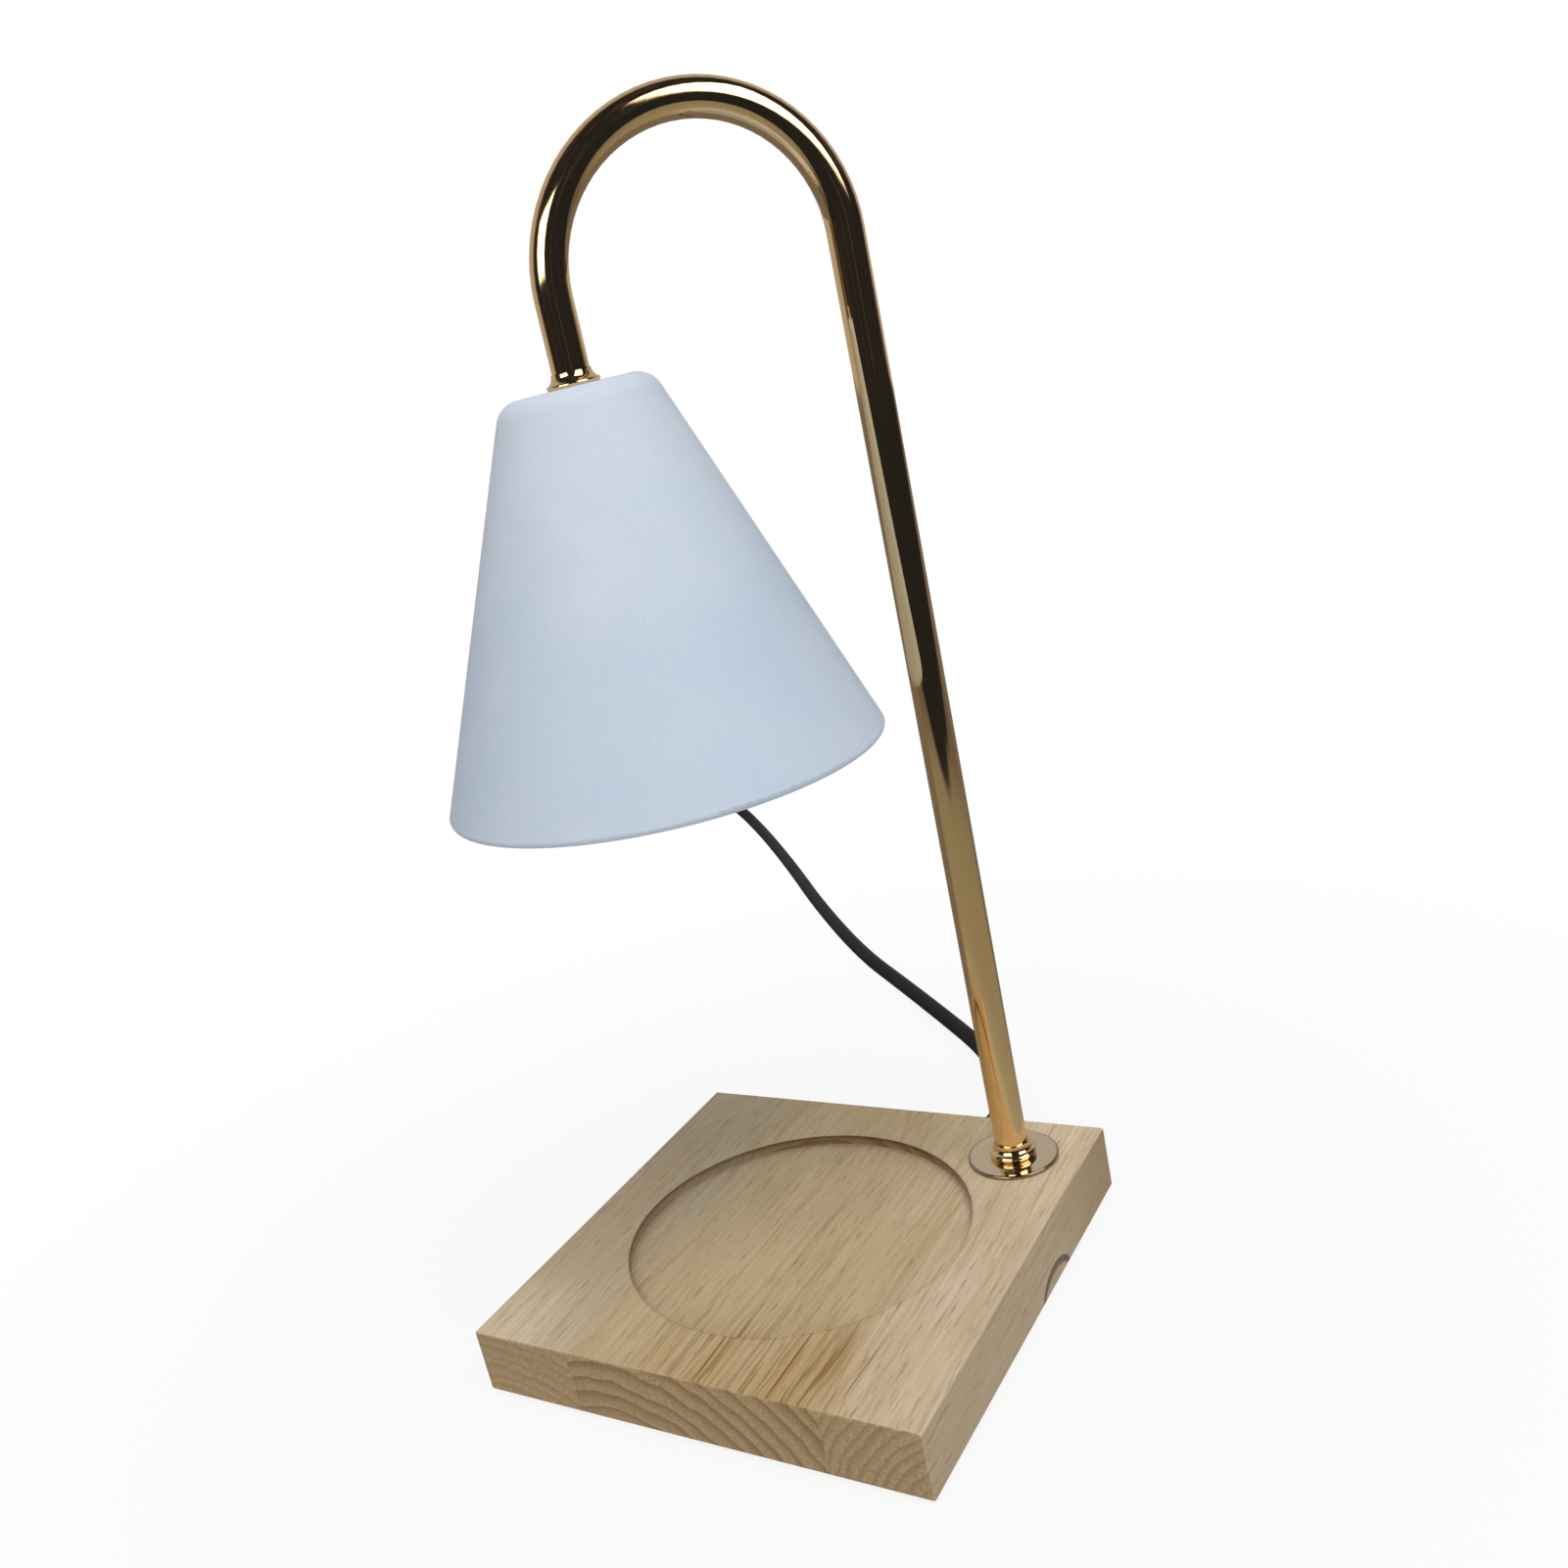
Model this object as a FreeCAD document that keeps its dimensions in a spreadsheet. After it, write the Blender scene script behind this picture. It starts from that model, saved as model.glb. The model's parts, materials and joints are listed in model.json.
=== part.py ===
import FreeCAD, Part

import math
import os

import Sketcher

# Candle warmer lamp: a square wooden base with a round seat for a candle jar, a gooseneck stem of
# brass tube that stands in one corner and arches over the diagonal, and a conical metal shade that
# holds a GU10 spot bulb above the candle. The mains cord leaves the back of the base, runs through
# a thumbwheel dimmer and ends in a coil and a two-pin plug.
#
# Frame: millimetres, +Z up, origin on the table under the middle of the base, X and Y along the
# sides of the base. The stem stands in the +X +Y corner, and -Y is the front.

SIZES = {
    # wooden base
    "base_side": 140.0, "base_thickness": 20.0, "base_rounding": 0.8,
    "seat_dia": 102.6, "seat_depth": 3.0,
    "foot_dia": 12.0, "foot_height": 1.5, "foot_inset": 13.0,
    # wiring bay under the stem corner, and its cover
    "bay_length": 46.0, "bay_width": 26.0, "bay_depth": 13.0, "bay_wall": 8.0, "screw_bite": 5.0,
    "cover_lip": 4.0, "cover_thickness": 1.0, "cover_screw_dia": 2.4, "cover_head_dia": 4.6,
    "cover_head_height": 1.0, "bay_gap": 1.0, "overcut": 1.0,
    # stem
    "stem_inset": 20.9, "stem_dia": 9.6, "stem_bore": 8.2, "stem_rise": 266.4, "arch_radius": 37.9,
    "stem_drop": 20.5, "nipple_dia": 8.0, "nipple_bore": 6.0, "nipple_grip": 14.0,
    "disc_dia": 26.6, "disc_thickness": 1.2,
    "collar_dia": 13.9, "collar_height": 4.6, "collar_bead": 2.4, "collar_floor": 1.4,
    "cap_dia": 13.7, "cap_height": 3.7, "cap_bead": 1.3, "cap_floor": 1.2, "fitting_lip": 0.2,
    "washer_dia": 17.0, "washer_thickness": 1.2, "spring_washer_dia": 14.0,
    "spring_washer_thickness": 1.4, "nut_width": 13.0, "nut_height": 4.0, "nipple_spare": 0.8,
    # shade
    "shade_height": 100.1, "shade_top_dia": 38.6, "shade_mouth_dia": 119.2, "shade_wall": 1.0,
    "shade_shoulder": 7.0, "shade_edge": 1.3, "shade_lip": 1.5,
    # lampholder
    "strap_width": 12.0, "strap_thickness": 1.0, "strap_half_span": 9.0, "strap_foot": 5.8,
    "strap_drop": 13.0, "holder_dia": 29.0, "holder_height": 14.0, "pin_pitch": 10.0,
    "pin_dia": 3.0, "pin_head_dia": 5.0, "pin_head_height": 2.6, "pin_play": 0.3,
    "lock_angle": 20.0, "ledge": 3.0, "chamber_height": 8.0, "wire_hole_dia": 2.8,
    "holder_screw_dia": 3.0, "holder_screw_head": 5.4, "holder_screw_length": 9.0,
    "holder_head_height": 1.8,
    # bulb
    "bulb_neck_dia": 19.0, "bulb_neck_length": 14.0, "bulb_dia": 50.0, "bulb_length": 46.0,
    "bulb_rim": 4.0, "bulb_wall": 1.5, "bulb_curve": 40.0, "lens_thickness": 2.0,
    "capsule_dia": 9.0, "capsule_length": 21.0,
    # wires, terminal block and cord anchorage
    "wire_dia": 2.0, "wire_offset": 1.3, "block_length": 17.0, "block_width": 9.0,
    "block_height": 11.6, "block_inset": 19.8, "block_bore": 2.6, "block_floor": 3.5,
    "pole_pitch": 8.0, "terminal_dia": 3.4, "wire_bite": 3.9, "wire_run": 2.2, "wire_bow_gap": 1.6,
    "wire_bend": 1.8, "core_bend": 1.1,
    "anchor_length": 17.0, "anchor_width": 6.0, "anchor_height": 11.8, "anchor_screw_dia": 2.4,
    "anchor_screw_pitch": 12.0, "anchor_screw_head": 3.6, "anchor_head_height": 0.8,
    # mains cord
    "cord_dia": 6.0, "cord_inset": 9.0, "cord_exit_height": 6.4, "cord_tail": 11.0,
    "gland_length": 20.0, "gland_dia": 9.6, "gland_neck_dia": 7.6, "gland_flange": 1.6,
    "gland_tip_dia": 7.2, "gland_rim": 1.0,
    # dimmer on the cord
    "dimmer_length": 60.0, "dimmer_width": 28.0, "dimmer_height": 18.0, "dimmer_corner": 10.0,
    "dimmer_edge": 2.5, "dimmer_wall": 2.0, "dimmer_end": 10.0, "wheel_dia": 32.0,
    "wheel_thickness": 5.0, "wheel_flutes": 24.0, "flute_dia": 2.0,
    "spindle_dia": 6.0, "board_thickness": 1.6, "pot_dia": 15.0, "dimmer_screw_dia": 2.6,
    "dimmer_screw_head": 4.8, "dimmer_screw_end": 3.5, "dimmer_screw_side": 2.0,
    "lead_play": 1.0, "lead_run": 5.5, "relief_length": 20.0, "relief_dia": 9.0,
    # coil, tie and plug
    "coil_dia": 72.0, "coil_width": 12.0, "coil_height": 12.0, "tie_width": 12.0,
    "tie_thickness": 0.6,
    "plug_width": 35.3, "plug_height": 13.7, "plug_length": 26.0, "plug_taper": 12.0,
    "plug_neck": 12.0, "plug_edge": 4.0, "plug_pin_dia": 4.0, "plug_pin_length": 19.0,
    "plug_pin_pitch": 19.0,
    # clearances
    "slide_gap": 0.1, "turn_gap": 0.3, "hole_gap": 0.4,
}

# Middle line of the mains cord on the table, from the gland to the dimmer: X and Y from the hole
# in the back of the base, Z from the table.
CORD_ROUTE = [
    (0.0, 25.5, 6.4), (-4.0, 36.0, 4.8), (-11.7, 50.0, 3.3), (-20.7, 65.5, 3.0),
    (-33.5, 84.5, 3.0), (-53.0, 106.0, 3.0), (-81.0, 134.5, 3.0), (-117.0, 168.0, 3.0),
    (-159.7, 213.0, 3.0), (-199.0, 258.3, 3.0), (-239.0, 300.4, 3.0), (-263.0, 322.5, 4.2),
    (-279.0, 336.2, 7.6), (-293.0, 347.6, 9.0),
]
DIMMER_HEADING = 142.0                  # direction of the cord through the dimmer, from +X
SLEEVE_START = 16.0                     # from the end of the route to the tip of the first sleeve
COIL_ALONG = 143.0                      # from the end of the route to the middle of the coil
PLUG_RUN = 34.0                         # from the widest point of the coil to the plug's sleeve
COIL_OVERLAP = 12.0                     # how far short of the widest point the cord meets the coil

DIAGONAL = math.sqrt(2.0)
STEM_ANGLE = 225.0                      # the arch leans from the stem's corner to the middle
PIN_ANGLE = -45.0                       # the bulb's two pins stand across the arch
CORD_BEND_SHARE = 0.45                  # share of the shorter run that a bend of the cord takes

doc = FreeCAD.newDocument("CandleWarmerLamp")
sheet = doc.addObject("Spreadsheet::Sheet", "Sizes")
for row, (alias, number) in enumerate(SIZES.items(), start=1):
    sheet.set(f"A{row}", alias)
    sheet.set(f"B{row}", str(number))
    sheet.setAlias(f"B{row}", alias)
doc.recompute()


class Size:
    """A length that knows both its value and the sheet expression that gives it."""

    def __init__(self, value, text):
        self.value = float(value)
        self.text = text

    def _join(self, other, sign, value, swap=False):
        first, second = (text_of(other), self.text) if swap else (self.text, text_of(other))
        return Size(value, f"({first} {sign} {second})")

    def __add__(self, other):
        return self._join(other, "+", self.value + value_of(other))

    def __radd__(self, other):
        return self._join(other, "+", value_of(other) + self.value, swap=True)

    def __sub__(self, other):
        return self._join(other, "-", self.value - value_of(other))

    def __rsub__(self, other):
        return self._join(other, "-", value_of(other) - self.value, swap=True)

    def __mul__(self, other):
        return self._join(other, "*", self.value * value_of(other))

    def __rmul__(self, other):
        return self._join(other, "*", value_of(other) * self.value, swap=True)

    def __truediv__(self, other):
        return self._join(other, "/", self.value / value_of(other))

    def __neg__(self):
        return Size(-self.value, f"(-1 * {self.text})")


def value_of(length):
    return length.value if isinstance(length, Size) else float(length)


def text_of(length):
    return length.text if isinstance(length, Size) else repr(float(length))


def root(length):
    return Size(math.sqrt(length.value), f"sqrt({length.text})")


def size(name):
    return Size(sheet.get(name), f"Sizes.{name}")


def point(x, y, z):
    return FreeCAD.Vector(value_of(x), value_of(y), value_of(z))


# ---------------------------------------------------------------- shared places

gap = size("slide_gap")
base_top = size("foot_height") + size("base_thickness")
half_base = size("base_side") / 2
stem_at = half_base - size("stem_inset")
shade_at = stem_at - size("arch_radius") * DIAGONAL
disc_top = base_top + size("disc_thickness")
stem_foot = disc_top + size("collar_floor")
arch_centre = base_top + size("stem_rise")
stem_tip = arch_centre - size("stem_drop") + size("cap_floor")
shade_top = stem_tip - size("cap_floor")
bay_ceiling = size("foot_height") + size("bay_depth")
cover_top = size("foot_height") + size("cover_thickness")
bay_right = half_base - size("bay_wall")
bay_left = bay_right - size("bay_length")
bay_back = half_base - size("bay_wall")
bay_front = bay_back - size("bay_width")
exit_x = bay_left + size("cord_inset")
block_x = bay_left + size("block_inset")
block_y = bay_front + size("block_length") / 2 + size("bay_gap")
anchor_y = bay_back - size("anchor_width") / 2 - size("bay_gap")
nipple_hole = size("nipple_dia") + size("hole_gap")
strap_top = shade_top - size("shade_wall") - size("washer_thickness")
holder_top = strap_top - size("strap_drop")
holder_face = holder_top - size("holder_height")
bulb_top = holder_face - size("turn_gap")

sub_parts = []


# ---------------------------------------------------------------- building blocks

def bind(item, **lengths):
    """Set each named property from the sheet."""
    for name, length in lengths.items():
        item.setExpression(name, text_of(length))


def place(item, x=0.0, y=0.0, z=0.0, turn=0.0, axis=(0, 0, 1)):
    """Stand a piece at x, y, z, turned by turn degrees about axis."""
    item.Placement = FreeCAD.Placement(
        point(x, y, z), FreeCAD.Rotation(FreeCAD.Vector(*axis), turn))
    for letter, length in zip("xyz", (x, y, z)):
        if isinstance(length, Size):
            item.setExpression(f"Placement.Base.{letter}", length.text)
    return item


def keep(item, label):
    """List a finished sub-part under its own name."""
    item.Label = label
    sub_parts.append(item)
    return item


def new_body(label):
    return doc.addObject("PartDesign::Body", f"{label}_body")


def new_sketch(body, role, lift=0.0):
    """A sketch on one of the body's own origin planes, lifted along the plane's normal."""
    sketch = body.newObject("Sketcher::SketchObject", "Sketch")
    plane = next(item for item in body.Origin.OriginFeatures if item.Role == role)
    sketch.AttachmentSupport = [(plane, "")]
    sketch.MapMode = "FlatFace"
    sketch.AttachmentOffset.Base = point(0, 0, lift)
    if isinstance(lift, Size):
        sketch.setExpression("AttachmentOffset.Base.z", lift.text)
    return sketch


def hold(sketch, kind, places, length):
    """One constraint whose size comes from the sheet."""
    if kind in ("DistanceX", "DistanceY") and not isinstance(length, Size) and length == 0:
        axis = -2 if kind == "DistanceX" else -1
        sketch.addConstraint(Sketcher.Constraint("PointOnObject", *places[-2:], axis))
        return
    number = sketch.addConstraint(Sketcher.Constraint(kind, *places, value_of(length)))
    if isinstance(length, Size):
        sketch.setExpression(f"Constraints[{number}]", length.text)


def outline(sketch, corners):
    """A closed outline. A corner is (x, y), or (x, y, radius) where an arc leads to the next one;
    the arc bulges to the right of its direction, or to the left if the radius is negative."""
    count = len(corners)
    first = sketch.GeometryCount
    ends = []
    for index, corner in enumerate(corners):
        start = point(corner[0], corner[1], 0)
        stop = point(*corners[(index + 1) % count][:2], 0)
        if len(corner) == 2:
            sketch.addGeometry(Part.LineSegment(start, stop), False)
            ends.append((1, 2))
            continue
        radius, run = value_of(corner[2]), stop - start
        right = FreeCAD.Vector(run.y, -run.x, 0).normalize() * math.copysign(1, radius)
        depth = math.sqrt(radius * radius - run.Length ** 2 / 4)
        top = (start + stop) / 2 + right * (abs(radius) - depth)
        turns_left = radius > 0
        low, high = (start, stop) if turns_left else (stop, start)
        sketch.addGeometry(Part.Arc(low, top, high), False)
        ends.append((1, 2) if turns_left else (2, 1))
    for index, corner in enumerate(corners):
        edge, after = first + index, first + (index + 1) % count
        here, there = ends[index], ends[(index + 1) % count]
        sketch.addConstraint(Sketcher.Constraint("Coincident", edge, here[1], after, there[0]))
        hold(sketch, "DistanceX", (-1, 1, edge, here[0]), corner[0])
        hold(sketch, "DistanceY", (-1, 1, edge, here[0]), corner[1])
        if len(corner) == 3:
            radius = corner[2] if value_of(corner[2]) > 0 else -corner[2]
            hold(sketch, "Radius", (edge,), radius)


def disc(sketch, x, y, diameter):
    """A full circle at x, y."""
    index = sketch.GeometryCount
    centre = point(x, y, 0)
    upright = FreeCAD.Vector(0, 0, 1)
    sketch.addGeometry(Part.Circle(centre, upright, value_of(diameter) / 2), False)
    hold(sketch, "DistanceX", (-1, 1, index, 3), x)
    hold(sketch, "DistanceY", (-1, 1, index, 3), y)
    hold(sketch, "Diameter", (index,), diameter)


def box_outline(sketch, low_x, high_x, low_y, high_y):
    outline(sketch, [(low_x, low_y), (high_x, low_y), (high_x, high_y), (low_x, high_y)])


def pad(body, sketch, length, middle=False, back=False):
    feature = body.newObject("PartDesign::Pad", "Pad")
    feature.Profile = sketch
    feature.Midplane = middle
    feature.Reversed = back
    bind(feature, Length=length)
    doc.recompute()
    return feature


def pocket(body, sketch, depth, up=False, middle=False):
    """Cut a sketch away, below the sketch or above it, and make sure that it did cut."""
    before = body.Shape.Volume
    feature = body.newObject("PartDesign::Pocket", "Pocket")
    feature.Profile = sketch
    feature.Reversed = up
    feature.Midplane = middle
    bind(feature, Length=depth)
    doc.recompute()
    if not body.Shape.Volume < before - 1e-6:
        raise ValueError(f"{body.Name}: a pocket cuts nothing")
    return feature


def revolve(body, sketch, kind="PartDesign::Revolution", angle=360.0, back=False):
    """Turn a sketch about its own upright axis."""
    feature = body.newObject(kind, "Turned")
    feature.Profile = sketch
    feature.ReferenceAxis = (sketch, ["V_Axis"])
    feature.Reversed = back
    bind(feature, Angle=angle)
    doc.recompute()
    return feature


def soften(body, radius, wanted, kind="PartDesign::Fillet"):
    """Round or bevel the edges that wanted picks."""
    base = body.Tip
    names = [f"Edge{number}" for number, edge in enumerate(base.Shape.Edges, 1) if wanted(edge)]
    feature = body.newObject(kind, "Softened")
    feature.Base = (base, names)
    bind(feature, **{"Radius" if kind == "PartDesign::Fillet" else "Size": radius})
    doc.recompute()
    return feature


def turned(label, corners, **where):
    """A lathe-turned piece: its half section is turned about the upright axis."""
    body = new_body(label)
    sketch = new_sketch(body, "XZ_Plane")
    outline(sketch, corners)
    revolve(body, sketch)
    return place(body, **where)


def ring(label, inner_dia, outer_dia, height, **where):
    inner, outer = inner_dia / 2, outer_dia / 2
    return turned(label, [(inner, 0), (outer, 0), (outer, height), (inner, height)], **where)


def group(label, members):
    """Several like pieces that share one name."""
    compound = doc.addObject("Part::Compound", f"{label}_group")
    compound.Links = members
    doc.recompute()
    return keep(compound, label)


def on_circle(edge, radius, height):
    """Whether an edge is a full circle of this radius at this height on the upright axis."""
    curve = edge.Curve
    return (isinstance(curve, Part.Circle) and abs(curve.Radius - value_of(radius)) < 1e-4
            and abs(curve.Center.z - value_of(height)) < 1e-4)


def is_upright(edge):
    start, stop = edge.Vertexes[0].Point, edge.Vertexes[-1].Point
    return abs(start.x - stop.x) < 1e-6 and abs(start.y - stop.y) < 1e-6 and edge.Length > 1e-6


def bend_path(points, radii=None):
    """Straight runs joined by tangent arcs, and the radii of the arcs."""
    points = [FreeCAD.Vector(*item) for item in points]
    edges, used, start = [], [], points[0]
    for index in range(1, len(points) - 1):
        corner = points[index]
        back, ahead = points[index - 1] - corner, points[index + 1] - corner
        half_turn = (math.pi - back.getAngle(ahead)) / 2
        if radii and radii[index - 1]:
            radius = radii[index - 1]
        else:
            radius = CORD_BEND_SHARE * min(back.Length, ahead.Length) / math.tan(half_turn)
        back.normalize()
        ahead.normalize()
        reach = radius * math.tan(half_turn)
        first, last = corner + back * reach, corner + ahead * reach
        inward = (back + ahead).normalize()
        middle = corner + inward * (radius / math.cos(half_turn) - radius)
        if start.distanceToPoint(first) > 1e-6:
            edges.append(Part.LineSegment(start, first).toShape())
        edges.append(Part.Arc(first, middle, last).toShape())
        used.append(radius)
        start = last
    if start.distanceToPoint(points[-1]) > 1e-6:
        edges.append(Part.LineSegment(start, points[-1]).toShape())
    return Part.Wire(edges), used


def bent_rod(label, points, diameter, radii=None):
    """A round wire or cord along a bent path, as a plain solid."""
    path, used = bend_path(points, radii)
    radius = value_of(diameter) / 2
    heading = (FreeCAD.Vector(*points[1]) - FreeCAD.Vector(*points[0])).normalize()
    rim = Part.Wire(Part.Circle(FreeCAD.Vector(*points[0]), heading, radius).toShape())
    solid = path.makePipeShell([rim], True, False)
    whole = path.Length * math.pi * radius * radius
    if abs(solid.Volume / whole - 1) > 0.01:
        raise ValueError(f"{label}: volume {solid.Volume:.1f} is not section times length {whole:.1f}")
    print(f"{label}: length {path.Length:.1f}, radii {' '.join(f'{item:.0f}' for item in used)}")
    rod = doc.addObject("Part::Feature", f"{label}_rod")
    rod.Shape = solid
    rod.Placement = FreeCAD.Placement()
    return rod


# ---------------------------------------------------------------- wooden base

def make_base_board():
    """The board with its candle seat, stem hole, wiring bay, cover rebate and cord slot."""
    body = new_body("base_board")
    foot = size("foot_height")
    sketch = new_sketch(body, "XY_Plane", foot)
    box_outline(sketch, -half_base, half_base, -half_base, half_base)
    pad(body, sketch, size("base_thickness"))
    soften(body, size("base_rounding"), lambda edge: True)

    sketch = new_sketch(body, "XY_Plane", base_top)
    disc(sketch, 0, 0, size("seat_dia"))
    pocket(body, sketch, size("seat_depth"))

    sketch = new_sketch(body, "XY_Plane", base_top)
    disc(sketch, stem_at, stem_at, nipple_hole)
    pocket(body, sketch, size("base_thickness"))

    sketch = new_sketch(body, "XY_Plane", foot)
    box_outline(sketch, bay_left, bay_right, bay_front, bay_back)
    pocket(body, sketch, size("bay_depth"), up=True)

    lip = size("cover_lip")
    sketch = new_sketch(body, "XY_Plane", foot)
    box_outline(sketch, bay_left - lip, bay_right + lip, bay_front - lip, bay_back + lip)
    pocket(body, sketch, size("cover_thickness"), up=True)

    sketch = new_sketch(body, "XY_Plane", cover_top)
    for x, y in cover_screw_places():
        disc(sketch, x, y, size("cover_screw_dia") + 2 * gap)
    pocket(body, sketch, size("screw_bite"), up=True)

    sketch = new_sketch(body, "XY_Plane", bay_ceiling)
    for x, y in bay_screw_places():
        disc(sketch, x, y, size("anchor_screw_dia") + 2 * gap)
    pocket(body, sketch, size("screw_bite"), up=True)

    # the cord slot: open below, round above, through the back wall of the bay
    slot = size("gland_neck_dia") + 2 * gap
    sketch = new_sketch(body, "XZ_Plane", -half_base)
    disc(sketch, exit_x, size("cord_exit_height"), slot)
    pocket(body, sketch, size("bay_wall"), up=True)
    sketch = new_sketch(body, "XZ_Plane", -half_base)
    box_outline(sketch, exit_x - slot / 2, exit_x + slot / 2,
                foot - size("overcut"), size("cord_exit_height"))
    pocket(body, sketch, size("bay_wall"), up=True)
    keep(body, "base_board")


def make_feet():
    reach = half_base - size("foot_inset")
    feet = [plain_disc("foot", size("foot_dia"), size("foot_height"), x=x, y=y)
            for x in (-reach, reach) for y in (-reach, reach)]
    group("rubber_feet", feet)


def plain_disc(label, diameter, height, **where):
    """A plain turned disc without a bore."""
    return turned(label, [(0, 0), (diameter / 2, 0), (diameter / 2, height), (0, height)], **where)


def cover_screw_places():
    inset = size("cover_lip") / 2
    return [(x, y) for x in (bay_left - inset, bay_right + inset)
            for y in (bay_front - inset, bay_back + inset)]


def make_cover():
    """Thin plate flush with the underside of the base, with a screw in each corner."""
    body = new_body("underside_cover")
    edge = size("cover_lip") - gap
    sketch = new_sketch(body, "XY_Plane", size("foot_height"))
    box_outline(sketch, bay_left - edge, bay_right + edge, bay_front - edge, bay_back + edge)
    pad(body, sketch, size("cover_thickness"))
    sketch = new_sketch(body, "XY_Plane", size("foot_height"))
    for x, y in cover_screw_places():
        disc(sketch, x, y, size("cover_screw_dia") + 2 * gap)
    pocket(body, sketch, size("cover_thickness"), up=True)
    keep(body, "underside_cover")


def bay_screw_places():
    """The two screws of the cord anchorage, then the screw of the terminal block."""
    half = size("anchor_screw_pitch") / 2
    return [(exit_x - half, anchor_y), (exit_x + half, anchor_y),
            (block_x, block_y)]


def pan_screw(label, diameter, head, length, head_height, **where):
    """A pan-head screw that points up: its head starts at the bottom."""
    return turned(label, [(0, 0), (head / 2, 0), (head / 2, head_height),
                          (diameter / 2, head_height), (diameter / 2, head_height + length),
                          (0, head_height + length)], **where)


def make_cover_screws():
    head_height = size("cover_head_height")
    length = size("cover_thickness") + size("screw_bite") - size("slide_gap")
    low = size("foot_height") - head_height
    screws = [pan_screw("cover_screw", size("cover_screw_dia"), size("cover_head_dia"), length,
                        head_height, x=x, y=y, z=low) for x, y in cover_screw_places()]
    group("cover_screws", screws)


def make_cord_anchorage():
    """Block that grips the cord's sheath inside the bay, held to the wood by two screws."""
    body = new_body("cord_anchorage")
    half_length, half_width = size("anchor_length") / 2, size("anchor_width") / 2
    low = bay_ceiling - size("anchor_height")
    sketch = new_sketch(body, "XY_Plane")
    box_outline(sketch, -half_length, half_length, -half_width, half_width)
    pad(body, sketch, size("anchor_height"))
    sketch = new_sketch(body, "XZ_Plane")
    disc(sketch, 0, size("cord_exit_height") - low, size("cord_dia") + 2 * gap)
    pocket(body, sketch, size("anchor_width"), middle=True)
    sketch = new_sketch(body, "XY_Plane")
    for side in (-1, 1):
        disc(sketch, size("anchor_screw_pitch") / 2 * side, 0, size("anchor_screw_dia") + 2 * gap)
    pocket(body, sketch, size("anchor_height"), up=True)
    sketch = new_sketch(body, "XY_Plane")
    for side in (-1, 1):
        disc(sketch, size("anchor_screw_pitch") / 2 * side, 0, size("anchor_screw_head") + 2 * gap)
    pocket(body, sketch, size("anchor_head_height"), up=True)
    keep(place(body, x=exit_x, y=anchor_y, z=low), "cord_anchorage")


def make_terminal_block():
    """Two-pole screw block: a bore along X and two screw wells at each pole."""
    body = new_body("terminal_block")
    half_width, half_length = size("block_width") / 2, size("block_length") / 2
    low = bay_ceiling - size("block_height")
    sketch = new_sketch(body, "XY_Plane")
    box_outline(sketch, -half_width, half_width, -half_length, half_length)
    pad(body, sketch, size("block_height"))
    sketch = new_sketch(body, "YZ_Plane")
    for side in (-1, 1):
        disc(sketch, size("pole_pitch") / 2 * side, size("block_floor"), size("block_bore"))
    pocket(body, sketch, size("block_width"), middle=True)
    sketch = new_sketch(body, "XY_Plane")
    for x, y in terminal_places():
        disc(sketch, x, y, size("terminal_dia"))
    pocket(body, sketch, size("block_floor"), up=True)
    sketch = new_sketch(body, "XY_Plane")
    disc(sketch, 0, 0, size("anchor_screw_dia") + 2 * gap)
    pocket(body, sketch, size("block_height"), up=True)
    sketch = new_sketch(body, "XY_Plane")
    disc(sketch, 0, 0, size("anchor_screw_head") + 2 * gap)
    pocket(body, sketch, size("anchor_head_height"), up=True)
    keep(place(body, x=block_x, y=block_y, z=low), "terminal_block")


def terminal_places():
    reach = size("block_width") / 4
    return [(reach * across, size("pole_pitch") / 2 * along)
            for across in (-1, 1) for along in (-1, 1)]


def make_terminal_screws():
    low = bay_ceiling - size("block_height")
    height = size("block_floor") - size("wire_dia") / 2 - size("slide_gap")
    screws = [plain_disc("terminal_screw", size("terminal_dia") - 2 * gap, height,
                        x=block_x + x, y=block_y + y, z=low)
              for x, y in terminal_places()]
    group("terminal_screws", screws)


def make_bay_screws():
    """Screws from below through the anchorage and the block into the wood."""
    screws = []
    for x, y in bay_screw_places():
        is_block = len(screws) == 2
        height = size("block_height") if is_block else size("anchor_height")
        length = height - size("anchor_head_height") + size("screw_bite") - size("slide_gap")
        screws.append(pan_screw("bay_screw", size("anchor_screw_dia"), size("anchor_screw_head"),
                                length, size("anchor_head_height"),
                                x=x, y=y, z=bay_ceiling - height))
    group("bay_screws", screws)


# ---------------------------------------------------------------- stem and its hardware

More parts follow.
